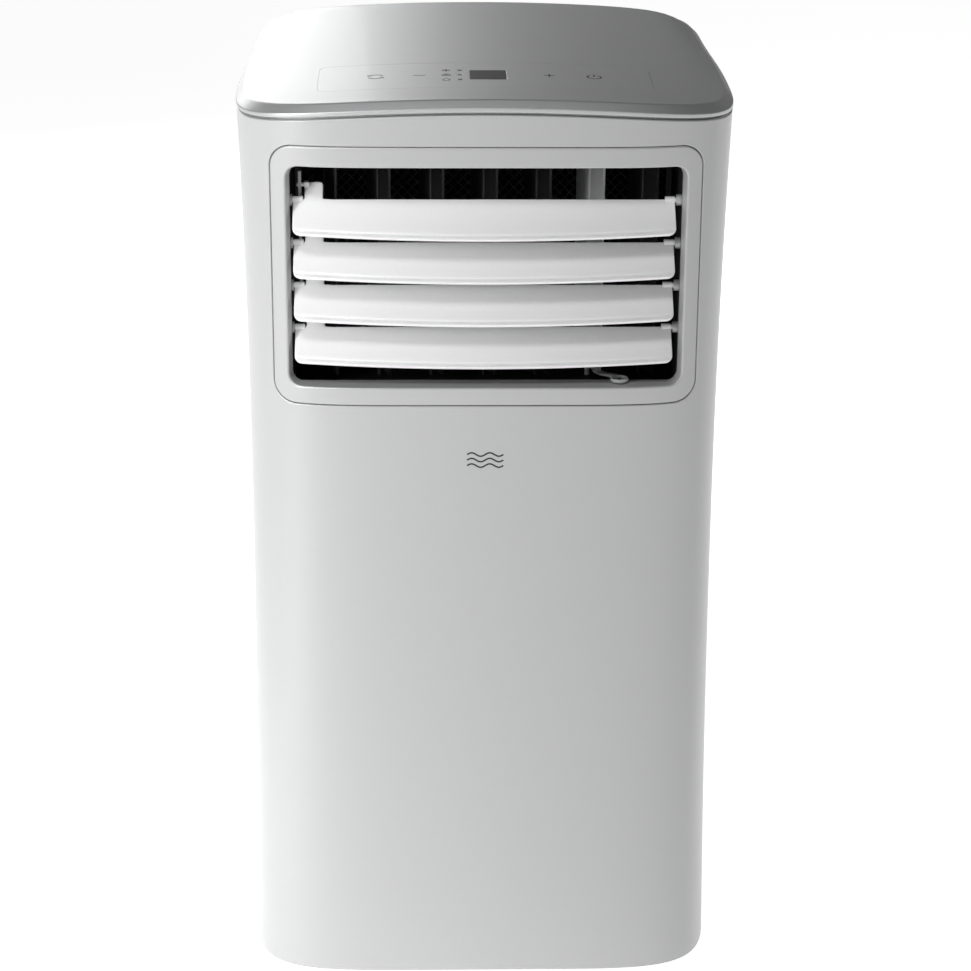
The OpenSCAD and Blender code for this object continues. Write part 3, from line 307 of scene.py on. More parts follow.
def side_at(y, z):
    span = np.where(z < WAIST_Z, WAIST_Z, HEIGHT - SHOULDER_H - WAIST_Z)
    waist = WAIST_INSET * np.maximum(0.0, 1.0 - ((z - WAIST_Z) / span) ** 2)
    back = (1.0 - np.cos(np.pi * np.clip((y - TAPER_Y) / TAPER_RUN, 0.0, 1.0))) / 2
    return WIDTH / 2 - waist - BACK_INSET * back


def plan(s, z, inset=0.0):
    """x and y of the casing a walk s round from the middle of its front."""
    s = (np.asarray(s, float) + HALF_TURN) % (2 * HALF_TURN) - HALF_TURN
    behind = np.abs(s) > FRONT_RUN
    rest = HALF_TURN - np.abs(s)
    share_y = np.where(behind, np.interp(rest, back_steps, back_along),
                       -np.interp(np.abs(s), front_steps, front_along))
    share_x = np.where(behind, np.interp(rest, back_steps, back_across),
                       np.interp(np.abs(s), front_steps, front_across))
    y = (DEPTH / 2 - inset) * share_y
    return np.sign(s) * (side_at(y, z) - inset) * share_x, y


def casing(s, z, depth=0.0):
    x, y = plan(s, z, depth)
    return np.stack([x, y, z + 0.0 * x], axis=-1)


def front_walk(x, z):
    """The walk to a place x across the front."""
    return np.sign(x) * np.interp(np.abs(x) / side_at(-DEPTH / 2, z), front_across,
                                  front_steps)


def back_walk(x, z):
    return HALF_TURN - np.sign(x) * np.interp(np.abs(x) / side_at(DEPTH / 2, z),
                                              back_across, back_steps)


def side_walk(y):
    """The walk to a place y along the right side."""
    share = np.abs(y) / (DEPTH / 2)
    return np.where(y < 0, np.interp(share, front_along[::-1], front_steps[::-1]),
                    HALF_TURN - np.interp(share, back_along[::-1], back_steps[::-1]))


def crown_at(x):
    return CROWN * (2 * x / WIDTH) ** 2


def edge_z(x, y):
    return HEIGHT - LID_RISE - LID_EDGE + EDGE_RISE * (y / DEPTH + 0.5) - crown_at(x)


def lid_z(x, y):
    return HEIGHT - LID_RISE * (0.5 - y / DEPTH) - crown_at(x)


def unit(vectors):
    length = np.linalg.norm(vectors, axis=-1, keepdims=True)
    return vectors / np.maximum(length, 1e-9)


def rounded_loop(w, h, r, steps=6, middle=(0.0, 0.0)):
    """A rounded rectangle, anticlockwise."""
    points = []
    for sx, sy, start in ((1, -1, -90), (1, 1, 0), (-1, 1, 90), (-1, -1, 180)):
        for k in range(steps + 1):
            a = math.radians(start + 90 * k / steps)
            points.append((middle[0] + sx * (w / 2 - r) + r * math.cos(a),
                           middle[1] + sy * (h / 2 - r) + r * math.sin(a)))
    return np.array(points)


def circle_loop(middle, r, steps=48):
    a = np.arange(steps) * 2 * np.pi / steps
    return np.stack([middle[0] + r * np.cos(a), middle[1] + r * np.sin(a)], axis=-1)


def closer(loop, step):
    """The same loop with its long edges divided."""
    points = []
    for a, b in zip(loop, np.roll(loop, -1, axis=0)):
        parts = max(1, int(math.ceil(np.linalg.norm(b - a) / step)))
        points += [a + (b - a) * k / parts for k in range(parts)]
    return np.array(points)


def inside(loop, points):
    x, y = points[:, 0], points[:, 1]
    hit = np.zeros(len(points), bool)
    for (x0, y0), (x1, y1) in zip(loop, np.roll(loop, -1, axis=0)):
        if y0 != y1:
            hit ^= ((y0 > y) != (y1 > y)) & (x < (x1 - x0) * (y - y0) / (y1 - y0) + x0)
    return hit


def leaning(loop, into):
    """Unit directions from a loop's points into the wall it bounds; into is 1 or -1."""
    turned = np.roll(loop, -1, axis=0)
    area = np.sum(loop[:, 0] * turned[:, 1] - turned[:, 0] * loop[:, 1])
    before = unit(loop - np.roll(loop, 1, axis=0))
    after = unit(turned - loop)
    normal = unit(np.stack([-(before + after)[:, 1], (before + after)[:, 0]], axis=-1))
    share = np.sqrt(np.maximum(0.3, (1 + np.sum(before * after, axis=-1)) / 2))
    return normal * np.sign(area) * into / share[:, None]


class Moulding:
    """A mesh under construction, in millimetres, with a normal at each face corner."""

    def __init__(self):
        self.points, self.faces, self.normals = [], [], []

    def keep(self, points):
        start = len(self.points)
        self.points += [tuple(p) for p in np.reshape(points, (-1, 3))]
        return start

    def face(self, corners, normals):
        a, b, c = (np.array(self.points[i]) for i in corners[:3])
        if len(corners) == 4 and np.allclose(a, b):
            a = np.array(self.points[corners[3]])
            a, b, c = b, c, a
        if np.dot(np.cross(b - a, c - a), np.sum(normals, axis=0)) < 0:
            corners, normals = corners[::-1], normals[::-1]
        self.faces.append([int(i) for i in corners])
        self.normals += [tuple(n) for n in normals]

    def strip(self, first, second, normals_first, normals_second):
        """Quads between two closed rows of point numbers."""
        count = len(first)
        for i in range(count):
            j = (i + 1) % count
            self.face([first[i], first[j], second[j], second[i]],
                      [normals_first[i], normals_first[j], normals_second[j],
                       normals_second[i]])

    def wall(self, outer, holes, grid, place, depth, roll, ends=None, steps=4):
        """A moulded wall with rolled edges round its outline and its holes.

        place(u, v, depth) is the point a depth below the wall's outer face."""
        loops = [(outer, 1)] + [(hole, -1) for hole in holes]
        flat_loops, lean = [], []
        for loop, into in loops:
            directions = leaning(loop, into)
            lean.append(directions)
            flat_loops.append(loop + directions * roll)

        def within(points):
            hit = inside(flat_loops[0], points)
            for loop in flat_loops[1:]:
                hit &= ~inside(loop, points)
            return hit

        keep = within(grid)
        for loop in flat_loops:
            near = np.min(np.linalg.norm(grid[:, None] - loop[None], axis=-1), axis=1)
            keep &= near > 1.2
        grid = grid[keep]
        domain = np.concatenate(flat_loops + [grid])
        edges, spans, start = [], [], 0
        for loop in flat_loops:
            count = len(loop)
            spans.append(np.arange(start, start + count))
            edges += [(start + i, start + (i + 1) % count) for i in range(count)]
            start += count
        made, _, triangles, origin, _, _ = delaunay_2d_cdt(
            [Vector(p) for p in domain], edges, [], 0, 1e-6)
        named = [o[0] for o in origin]
        triangles = np.array([[named[i] for i in t] for t in triangles if len(t) == 3])
        triangles = triangles[within(domain[triangles].mean(axis=1))]

        def outward(p):
            du = place(p[:, 0] + 0.5, p[:, 1], 0.0) - place(p[:, 0] - 0.5, p[:, 1], 0.0)
            dv = place(p[:, 0], p[:, 1] + 0.5, 0.0) - place(p[:, 0], p[:, 1] - 0.5, 0.0)
            return unit(np.cross(du, dv))

        skin = place(domain[:, 0], domain[:, 1], 0.0)
        normal = outward(domain)
        below = place(domain[:, 0], domain[:, 1], depth)
        if np.sum((skin - below) * normal) < 0:
            normal = -normal
        for k, (loop, _) in enumerate(loops):
            if ends and k in ends:
                below[spans[k]] = ends[k]
            else:
                below[spans[k]] = place(loop[:, 0], loop[:, 1], depth)
        top = self.keep(skin)
        low = self.keep(below)
        for t in triangles:
            self.face(top + t, normal[t])
            self.face(low + t, -normal[t])
        for k, (loop, _) in enumerate(loops):
            reach = lean[k]
            out = unit(place(loop[:, 0] - reach[:, 0] * 0.5, loop[:, 1] - reach[:, 1] * 0.5, 0.0)
                       - place(loop[:, 0] + reach[:, 0] * 0.5, loop[:, 1] + reach[:, 1] * 0.5,
                               0.0))
            last = top + spans[k]
            last_normal = normal[spans[k]]
            for i in range(1, steps + 1):
                a = math.pi / 2 * i / steps
                p = loop + reach * roll * (1 - math.sin(a))
                row = place(p[:, 0], p[:, 1], roll * (1 - math.cos(a)))
                row_normal = unit(normal[spans[k]] * math.cos(a) + out * math.sin(a))
                count = self.keep(row)
                numbers = np.arange(count, count + len(row))
                self.strip(last, numbers, last_normal, row_normal)
                last, last_normal = numbers, row_normal
            self.strip(last, low + spans[k], last_normal, last_normal)

    def web(self, rows, closed=True, cap=True, flip=False):
        """A skin through rows of equal length, smooth along and across."""
        rows = np.asarray(rows, float)
        if closed:
            wide = np.concatenate([rows[:, -1:], rows, rows[:, :1]], axis=1)
            down = np.gradient(wide, axis=1)[:, 1:-1]
        else:
            down = np.gradient(rows, axis=1)
        normal = unit(np.cross(np.gradient(rows, axis=0), down)) * (-1 if flip else 1)
        start = self.keep(rows)
        count = rows.shape[1]
        numbers = start + np.arange(rows.shape[0] * count).reshape(rows.shape[:2])
        for i in range(rows.shape[0] - 1):
            for j in range(count if closed else count - 1):
                k = (j + 1) % count
                self.face([numbers[i, j], numbers[i, k], numbers[i + 1, k],
                           numbers[i + 1, j]],
                          [normal[i, j], normal[i, k], normal[i + 1, k], normal[i + 1, j]])
        if cap:
            for i, other in ((0, 1), (-1, -2)):
                middle = rows[i].mean(axis=0)
                way = unit(middle - rows[other].mean(axis=0))
                tip = self.keep([middle])
                for j in range(count):
                    k = (j + 1) % count
                    self.face([numbers[i, j], numbers[i, k], tip], [way, way, way])

    def block(self, low, high):
        """A plain rectangular rib with square edges."""
        low, high = np.array(low, float), np.array(high, float)
        for axis in range(3):
            for side, way in ((low, -1.0), (high, 1.0)):
                others = [k for k in range(3) if k != axis]
                corners = []
                for a, b in ((0, 0), (1, 0), (1, 1), (0, 1)):
                    p = np.zeros(3)
                    p[axis] = side[axis]
                    p[others[0]] = (low, high)[a][others[0]]
                    p[others[1]] = (low, high)[b][others[1]]
                    corners.append(p)
                start = self.keep(corners)
                normal = np.zeros(3)
                normal[axis] = way
                self.face(list(range(start, start + 4)), [normal] * 4)

    def round_bar(self, start, axis, r, length, edge=0.3, steps=32):
        """A round pin or boss along an axis, with broken edges."""
        start, axis = np.array(start, float), unit(np.array(axis, float))
        side = unit(np.cross(axis, [0.31, 0.52, 0.79]))
        other = np.cross(axis, side)
        profile = [(r - edge, 0.0), (r - edge * 0.3, edge * 0.3), (r, edge),
                   (r, length - edge), (r - edge * 0.3, length - edge * 0.3),
                   (r - edge, length)]
        turns = np.arange(steps) * 2 * np.pi / steps
        rim = np.outer(np.cos(turns), side) + np.outer(np.sin(turns), other)
        self.web([start + axis * h + rim * radius for radius, h in profile])

    def surround(self, low, high, thick, y0, y1):
        """Four square ribs round an opening; low and high are its (x, z) corners."""
        (x0, z0), (x1, z1) = low, high
        for a, b in (((x0 - thick, z0 - thick), (x0, z1 + thick)),
                     ((x1, z0 - thick), (x1 + thick, z1 + thick)),
                     ((x0, z0 - thick), (x1, z0)), ((x0, z1), (x1, z1 + thick))):
            self.block((a[0], y0, a[1]), (b[0], y1, b[1]))

    def mesh(self, name, finish):
        """The mesh so far, in metres."""
        mesh = bpy.data.meshes.new(name)
        mesh.from_pydata([(x * MM, y * MM, z * MM) for x, y, z in self.points], [],
                         self.faces)
        mesh.materials.append(finish.material)
        return mesh

    def piece(self, name, finish, body, slot, *nodes):
        mesh = self.mesh(name, finish)
        mesh.shade_smooth()
        mesh.normals_split_custom_set(self.normals)
        ready(name, mesh, body, slot, *nodes)


def ready(name, mesh, body, slot, *nodes):
    """Makes a mesh the piece that rides on a body, in place of the CAD nodes."""
    shown = put(name, mesh)
    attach(shown, body)
    if nodes:
        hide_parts(*nodes)


def grid_over(loop, step_u, step_v):
    low, high = loop.min(axis=0), loop.max(axis=0)
    u = np.arange(low[0] + step_u / 2, high[0], step_u)
    v = np.arange(low[1] + step_v / 2, high[1], step_v)
    return np.stack(np.meshgrid(u, v), axis=-1).reshape(-1, 2)


shell_finish = Finish("silver_white_abs", (0.475, 0.477, 0.479), 0.36,
                      metallic=0.2, coat_weight=0.12)
shell_finish.tint(shell_finish.noise(900.0, 3.0) * 0.35, (0.54, 0.543, 0.546))
shell_finish.feed("Roughness", shell_finish.noise(7.0, 3.0) * 0.06 + 0.33)
shell_finish.bump(shell_finish.noise(2600.0, 2.0), 0.00003)

# Front shell: from the seam on one side round to the other, open for the outlet
seam = float(side_walk(np.array(SPLIT_Y)))


def shell_outline(start, end):
    """Skirt to top edge between two walks; the top follows the lid's shadow gap."""
    walk = np.linspace(start, end, 160)
    x, y = plan(walk, HEIGHT)
    top = np.stack([walk, edge_z(x, y)], axis=-1)[::-1]
    foot = np.stack([walk, np.full_like(walk, SKIRT_Z)], axis=-1)
    left = np.linspace(top[-1], foot[0], 60)[1:-1]
    right = np.linspace(foot[-1], top[0], 60)[1:-1]
    return np.concatenate([foot, right, top, left])


outlet_hole = closer(rounded_loop(FRAME_W + 2 * PANEL_GAP,
                                  FRAME_Z1 - FRAME_Z0 + 2 * PANEL_GAP, FRAME_R, 10,
                                  (0.0, (FRAME_Z0 + FRAME_Z1) / 2)), 6.0)
outlet_hole[:, 0] = front_walk(outlet_hole[:, 0], outlet_hole[:, 1])
outline = shell_outline(-seam, seam)
front = Moulding()
front.wall(outline, [outlet_hole], grid_over(outline, 8.0, 10.0), casing, WALL, 0.7)
front.piece("front_shell", shell_finish, "cabinet", "casing_plastic", "front_shell")

# Rear shell: pierced for the two grilles, the hose, the drains and the cord
GRILLE_W = 248.0
GRILLE_Y0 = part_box("upper_grille")[0].y / MM
UPPER_Z0, UPPER_Z1 = (corner.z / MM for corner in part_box("upper_grille"))
LOWER_Z0, LOWER_Z1 = (corner.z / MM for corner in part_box("lower_grille"))
LOWER_W, LOWER_X = 118.0, -65.0
EXHAUST, EXHAUST_R = (74.0, 160.0), 68.5
DRAINS, DRAIN_R = ((106.0, 264.2), (-40.0, 56.5)), 12.0
GLAND, GLAND_R = (110.0, 62.5), 7.2
SCREW_X, INNER_SCREW_X, SCREW_R = 99.5, 59.7, 4.05
RING_GAP, RING_W = 0.5, 5.0
windows = [(0.0, GRILLE_W, UPPER_Z0, UPPER_Z1), (LOWER_X, LOWER_W, LOWER_Z0, LOWER_Z1)]
back_holes = [rounded_loop(w + 1, z1 - z0 + 1, 3.0, 4, (x, (z0 + z1) / 2))
              for x, w, z0, z1 in windows]
back_holes.append(circle_loop(EXHAUST, EXHAUST_R, 72))
back_holes += [circle_loop(place, r, 32) for place, r in
               ((DRAINS[0], DRAIN_R), (DRAINS[1], DRAIN_R), (GLAND, GLAND_R))]
screw_top = float(edge_z(np.array(SCREW_X), np.array(DEPTH / 2)) - 9.0)
for x, z in ((SCREW_X, 74.5), (INNER_SCREW_X, 265.2), (SCREW_X, screw_top)):
    back_holes += [circle_loop((side * x, z), SCREW_R, 20) for side in (-1, 1)]
back_holes = [closer(hole, 6.0) for hole in back_holes]
for hole in back_holes:
    hole[:, 0] = back_walk(hole[:, 0], hole[:, 1])
HANDLE_Y, HANDLE_Z, HANDLE_L, HANDLE_H = 92.0, 598.5, 92.0, 30.0
handle_loop = closer(rounded_loop(HANDLE_L + 1, HANDLE_H + 1, 4.0, 4,
                                  (HANDLE_Y, HANDLE_Z)), 6.0)
handle_hole = handle_loop.copy()
handle_hole[:, 0] = side_walk(handle_loop[:, 0])
other_handle = handle_hole.copy()
other_handle[:, 0] = 2 * HALF_TURN - other_handle[:, 0]
outline = shell_outline(seam, 2 * HALF_TURN - seam)
rear = Moulding()
rear.wall(outline, back_holes + [handle_hole, other_handle],
          grid_over(outline, 8.0, 10.0), casing, WALL, 0.7)
for x, w, z0, z1 in windows:
    near = w / 2 + RING_GAP
    rear.surround((x - near, z0 - RING_GAP), (x + near, z1 + RING_GAP), RING_W,
                  GRILLE_Y0 - 4.0, GRILLE_Y0 + 6.0)
rear.piece("rear_shell", shell_finish, "cabinet", "casing_plastic", "rear_shell")


# --------------------
# Lid: one moulding in metallic silver with a bevelled rim and softly rolled
# sides, held a shadow gap above the shells by a wall that drops inside them.
# --------------------

LID_GAP, BEVEL_W, BEVEL_H, ROLL = 2.0, 6.0, 5.0, 34.0
WALL_IN, WALL_DROP = 3.5, -16.0
PANEL_W, PANEL_L, PANEL_Y, PANEL_R, PANEL_T = 236.0, 72.0, -96.5, 8.0, 1.0
SNUG = 0.15

silver = Finish("metallic_silver", (0.50, 0.503, 0.506), 0.42,
                metallic=0.7, coat_weight=0.05)
silver.tint(silver.noise(1400.0, 2.0), (0.60, 0.605, 0.61))
silver.feed("Roughness", silver.noise(1800.0, 2.0) * 0.12 + 0.38)
silver.bump(silver.noise(2200.0, 2.0), 0.00006)


def inset_at(x, y):
    """How far inside the casing's outline a place on the lid lies."""
    low, high = np.zeros_like(x), np.full_like(x, 172.0)
    for _ in range(32):
        middle = (low + high) / 2
        power = np.where(y > 0, BACK_POWER, FRONT_POWER)
        reach = ((np.abs(x) / np.maximum(side_at(y, HEIGHT) - middle, 0.1)) ** power
                 + (np.abs(y) / (DEPTH / 2 - middle)) ** power)
        low, high = np.where(reach < 1, middle, low), np.where(reach < 1, high, middle)
    return (low + high) / 2


def rolled(inset):
    v = np.clip((inset - BEVEL_W - 1.0) / (ROLL - 1.0), 0.0, 1.0)
    return 1 - (1 - v) ** 3.0


def lid_top(x, y, depth=0.0):
    low = edge_z(x, y) + LID_EDGE
    return np.stack([x, y, low + (lid_z(x, y) - low) * rolled(inset_at(x, y)) - depth],
                    axis=-1)


def lid_row(walk, inset, rise, share):
    """A closed row round the lid: rise above the shells' edge, then a share of the roll."""
    x, y = plan(walk, HEIGHT, inset)
    low = edge_z(x, y) + rise
    return np.stack([x, y, low + (lid_z(x, y) - edge_z(x, y) - LID_EDGE) * share], axis=-1)


walk = np.linspace(0.0, 2 * HALF_TURN, 320, endpoint=False)
profile = [(WALL_IN, WALL_DROP, 0.0), (WALL_IN, LID_GAP, 0.0), (0.5, LID_GAP, 0.0),
           (0.12, LID_GAP + 0.15, 0.0), (0.0, LID_GAP + 0.5, 0.0)]
rim_top = LID_EDGE - BEVEL_H
slope = math.atan2(BEVEL_H, BEVEL_W)
for k in range(5):
    profile.append((0.72 * (1 - math.sin(slope)) * k / 4,
                    rim_top - 0.6 + 1.08 * math.sin(slope * k / 4), 0.0))
profile.append((BEVEL_W - 1.0, LID_EDGE - BEVEL_H / BEVEL_W, 0.0))
for k in range(1, 5):
    profile.append((BEVEL_W - 1.0 + 0.5 * k, LID_EDGE - 0.83 * (1 - k / 4) ** 2, 0.0))
lid = Moulding()
lid.web([lid_row(walk, *p) for p in profile], cap=False, flip=True)
crest = lid_row(walk, *profile[-1])
recess = closer(rounded_loop(PANEL_W + 2 * SNUG, PANEL_L + 2 * SNUG, PANEL_R, 8,
                             (0.0, PANEL_Y)), 6.0)
outline = crest[:, :2]
lid.wall(outline, [recess], grid_over(outline, 7.0, 7.0), lid_top, WALL, 0.001, steps=1)
lid.wall(recess, [], grid_over(recess, 12.0, 12.0),
         lambda x, y, depth: lid_top(x, y, depth + PANEL_T), WALL - PANEL_T, 0.001, steps=1)
lid.web([lid_row(walk, WALL_IN, WALL_DROP, 0.0), lid_row(walk, 6.0, WALL_DROP, 0.0),
         lid_row(walk, 6.0, 5.0, 0.0), lid_row(walk, 7.0, LID_EDGE - 3.0, 0.0)], cap=False)
lid.piece("top_cover", silver, "cabinet", "lid_plastic", "top_cover")


# --------------------
# Control panel: a thin printed sheet let flush into the lid over touch pads,
# with a dark display window, three indicator lenses and raised-ink signs.
# --------------------

WINDOW_W, WINDOW_L, WINDOW_X = 26.0, 27.0, 2.0
LED_X, LED_PITCH, LED_SIZE = -18.0, 13.5, 3.4

sheet_finish = Finish("printed_sheet", (0.51, 0.513, 0.516), 0.44,
                      metallic=0.7, coat_weight=0.05)
sheet_finish.tint(sheet_finish.noise(1400.0, 2.0), (0.60, 0.605, 0.61))
sheet_finish.bump(sheet_finish.noise(2400.0, 2.0), 0.00004)
glass = Finish("dark_glass", (0.008, 0.009, 0.006), 0.3)
glass.tint(glass.noise(240.0, 2.0) * 0.6, (0.018, 0.020, 0.013))
lens = Finish("led_lens", (0.09, 0.09, 0.10), 0.2, coat_weight=0.5)
lens.tint(lens.noise(500.0), (0.15, 0.15, 0.16))
ink = Finish("grey_ink", (0.012, 0.0125, 0.013), 0.5)
ink.feed("Roughness", ink.noise(900.0) * 0.2 + 0.4)

window_hole = rounded_loop(WINDOW_W + 2 * SNUG, WINDOW_L + 2 * SNUG, 1.0, 4,
                           (WINDOW_X, PANEL_Y))
led_holes = [rounded_loop(LED_SIZE + 2 * SNUG, LED_SIZE + 2 * SNUG, 0.3, 2,
                          (LED_X, PANEL_Y + i * LED_PITCH)) for i in (-1, 0, 1)]
outline = closer(rounded_loop(PANEL_W, PANEL_L, PANEL_R - SNUG, 8, (0.0, PANEL_Y)), 6.0)
panel = Moulding()
panel.wall(outline, [window_hole] + led_holes, grid_over(outline, 8.0, 8.0), lid_top,
           PANEL_T - 0.05, 0.3)
panel.piece("control_panel", sheet_finish, "cabinet", "lid_plastic", "control_panel")

outline = rounded_loop(WINDOW_W, WINDOW_L, 1.0, 4, (WINDOW_X, PANEL_Y))
window = Moulding()
window.wall(outline, [], grid_over(outline, 4.0, 4.0), lid_top, PANEL_T - 0.05, 0.2)
window.piece("display_window", glass, "cabinet", "display_glass", "display_window")

lenses = Moulding()
for i in (-1, 0, 1):
    outline = rounded_loop(LED_SIZE, LED_SIZE, 0.3, 2, (LED_X, PANEL_Y + i * LED_PITCH))
    lenses.wall(outline, [], grid_over(outline, 1.6, 1.6), lid_top, PANEL_T - 0.05, 0.2)
lenses.piece("indicator_leds", lens, "cabinet", "led_lens", "indicator_leds")


def ribbon(moulding, path, width, place, closed=False):
    """A printed line: a low closed strip along a path on a surface."""
    path = np.array(path, float)
    if closed:
        tangent = unit(np.roll(path, -1, axis=0) - np.roll(path, 1, axis=0))
    else:
        tangent = unit(np.gradient(path, axis=0))
    side = np.stack([-tangent[:, 1], tangent[:, 0]], axis=-1) * width / 2
    left, right = path + side, path - side
    rows = [place(left[:, 0], left[:, 1], 0.15), place(left[:, 0], left[:, 1], -0.04),
            place(right[:, 0], right[:, 1], -0.04), place(right[:, 0], right[:, 1], 0.15)]
    count = len(path)
    starts = [moulding.keep(row) for row in rows]
    centre = np.mean(rows, axis=0)

    def facing(corners, way):
        points = np.array([moulding.points[c] for c in corners])
        normal = unit(np.cross(points[1] - points[0], points[3] - points[0]))
        if np.dot(normal, way(points)) < 0:
            normal = -normal
        moulding.face(corners, [normal] * 4)

    for a, b in zip(starts, starts[1:] + starts[:1]):
        for i in range(count if closed else count - 1):
            j = (i + 1) % count
            facing([a + i, a + j, b + j, b + i],
                   lambda points: points.mean(axis=0) - (centre[i] + centre[j]) / 2)
    if not closed:
        run = centre[-1] - centre[0]
        facing(starts, lambda points: -run)
        facing([start + count - 1 for start in starts], lambda points: run)


def arc(middle, r, start, end, steps=24):
    a = np.radians(np.linspace(start, end, steps))
    return np.stack([middle[0] + r * np.cos(a), middle[1] + r * np.sin(a)], axis=-1)


signs = Moulding()


def sign_line(*points, width=0.95):
    ribbon(signs, points, width, lid_top)


# Mode: two arrows chasing each other round a ring
MODE = (-77.5, PANEL_Y)
for start in (20, 200):
    ribbon(signs, arc(MODE, 5.4, start, start + 130), 1.2, lid_top)
    tip = arc(MODE, 5.4, start + 138, start + 140, 2)[0]
    tail = math.radians(start + 138 - 90)
    for turn in (-35, 35):
        a = tail + math.radians(turn)
        sign_line(tip, (tip[0] + 2.8 * math.cos(a), tip[1] + 2.8 * math.sin(a)), width=1.2)
# Minus and plus
sign_line((-51.0, PANEL_Y), (-42.2, PANEL_Y), width=1.25)
sign_line((41.6, PANEL_Y), (49.4, PANEL_Y), width=1.25)
sign_line((45.5, PANEL_Y - 3.9), (45.5, PANEL_Y + 3.9), width=1.25)
# Power: an open ring with a stroke at its top
ribbon(signs, arc((77.4, PANEL_Y), 4.9, 122, 418, 40), 1.25, lid_top)
sign_line((77.4, PANEL_Y + 1.0), (77.4, PANEL_Y + 6.4), width=1.25)
# Beside the lenses: a snow crystal, a fan and a drop
SIGN_X = -27.5
for k in range(3):
    a = math.radians(30 + 60 * k)
    sign_line((SIGN_X - 3.4 * math.cos(a), PANEL_Y + LED_PITCH - 3.4 * math.sin(a)),
              (SIGN_X + 3.4 * math.cos(a), PANEL_Y + LED_PITCH + 3.4 * math.sin(a)))
for k in range(3):
    a = math.radians(90 + 120 * k)
    middle = (SIGN_X + 1.9 * math.cos(a), PANEL_Y + 1.9 * math.sin(a))
    ribbon(signs, arc(middle, 1.5, 0, 345, 14), 0.9, lid_top, closed=True)
drop = np.concatenate([arc((SIGN_X, PANEL_Y - LED_PITCH - 0.9), 2.4, 150, 390, 18),
                       [[SIGN_X, PANEL_Y - LED_PITCH + 4.0]]])
ribbon(signs, drop, 0.9, lid_top, closed=True)
signs.piece("panel_signs", ink, "cabinet", "lid_plastic")


# --------------------
# Emblem on the front: three wavy lines of air, printed in dark grey.
# --------------------

emblem = Moulding()
for i in (-1, 0, 1):
    across_emblem = np.linspace(-13.0, 13.0, 60)
    wave = 431.0 + 4.2 * i + 1.3 * np.sin(across_emblem * 2 * np.pi / 13.0)
    emblem_path = np.stack([front_walk(across_emblem, wave), wave], axis=-1)
    ribbon(emblem, emblem_path, 1.2, casing)
emblem.piece("front_emblem", ink, "cabinet", "casing_plastic")


# --------------------
# Outlet frame: a separate moulding in the shell's colour, flush with the front,
# whose rounded lip drafts inwards to a tunnel, with painted shade inside it.
# --------------------

OPEN_W, OPEN_Z0, OPEN_Z1, OPEN_R = 280.0, 485.0, 644.0, 9.0
LIP_Y, TUNNEL_Y, DUCT_HALF = -154.5, -127.5, 137.0
DUCT_Z0, DUCT_Z1 = 473.0, 648.5
LOUVER_Y, LOUVER_Z = -148.5, (616.0, 585.0, 554.0, 523.0)

outline = closer(rounded_loop(FRAME_W, FRAME_Z1 - FRAME_Z0, FRAME_R - PANEL_GAP, 10,
                              (0.0, (FRAME_Z0 + FRAME_Z1) / 2)), 6.0)
outline[:, 0] = front_walk(outline[:, 0], outline[:, 1])
opening = closer(rounded_loop(OPEN_W, OPEN_Z1 - OPEN_Z0, OPEN_R, 10,
                              (0.0, (OPEN_Z0 + OPEN_Z1) / 2)), 6.0)
lip_back = np.stack([opening[:, 0] * (OPEN_W / 2 - 3.0) / (OPEN_W / 2),
                     np.full(len(opening), LIP_Y),
                     np.clip(opening[:, 1], OPEN_Z0 + 0.5, OPEN_Z1 - 1.0)], axis=-1)
opening_walk = opening.copy()
opening_walk[:, 0] = front_walk(opening[:, 0], opening[:, 1])
bezel = Moulding()
bezel.wall(outline, [opening_walk], grid_over(outline, 3.5, 5.0), casing, WALL, 1.3,
           ends={1: lip_back})
for z in LOUVER_Z:
    bezel.round_bar((-DUCT_HALF - 0.5, LOUVER_Y, z), (1, 0, 0), 4.0, 2.0)
    bezel.round_bar((DUCT_HALF + 0.5, LOUVER_Y, z), (-1, 0, 0), 4.0, 4.2)
bezel.piece("louver_frame", shell_finish, "cabinet", "casing_plastic", "louver_frame")

# Painted shade: a black sheet round the inside of the tunnel stands in for the shade of the deep
# outlet; the tunnel is the frame's own light plastic.
tunnel_shade_finish = Finish("painted_tunnel_shade", (0.008, 0.008, 0.009), 0.85)
tunnel_shade_finish.bump(tunnel_shade_finish.noise(700.0, 4.0), 0.0005)
tunnel_shade_sheet = Moulding()
tunnel_shade_sheet.surround((-DUCT_HALF, DUCT_Z0), (DUCT_HALF, DUCT_Z1), 2.5, LIP_Y + 0.3, TUNNEL_Y)
tunnel_shade_sheet.piece("tunnel_lining", tunnel_shade_finish, "cabinet", "dark_plastic")


# --------------------
# Louvres: four white ABS blades with a bowed, beaded front edge, each turning
# on two pins. A tab at the left end carries the pin of the link behind them.
# --------------------

LOUVER_X0, LOUVER_X1, CHORD, BOW_R, BLADE_T = -135.0, 132.4, 33.5, 1770.0, 2.2
TILT = math.radians(44.0)

blade_finish = Finish("white_abs", (0.87, 0.87, 0.87), 0.34, coat_weight=0.15)
blade_finish.tint(blade_finish.noise(600.0, 3.0) * 0.4, (0.75, 0.75, 0.755))
blade_finish.bump(blade_finish.noise(2400.0), 0.00003)
link_finish = Finish("light_grey_nylon", (0.42, 0.425, 0.43), 0.42)
link_finish.tint(link_finish.noise(400.0) * 0.5, (0.36, 0.365, 0.37))
dark_abs = Finish("dark_abs", (0.005, 0.0052, 0.0055), 0.6)
dark_abs.bump(dark_abs.noise(1800.0), 0.00006)

half = (LOUVER_X1 - LOUVER_X0) / 2
blade_middle = (LOUVER_X0 + LOUVER_X1) / 2


def front_of_blade(x):
    """How far the bowed front edge lies from the pivot line."""
    return CHORD - BOW_R + np.sqrt(BOW_R ** 2 - x ** 2)


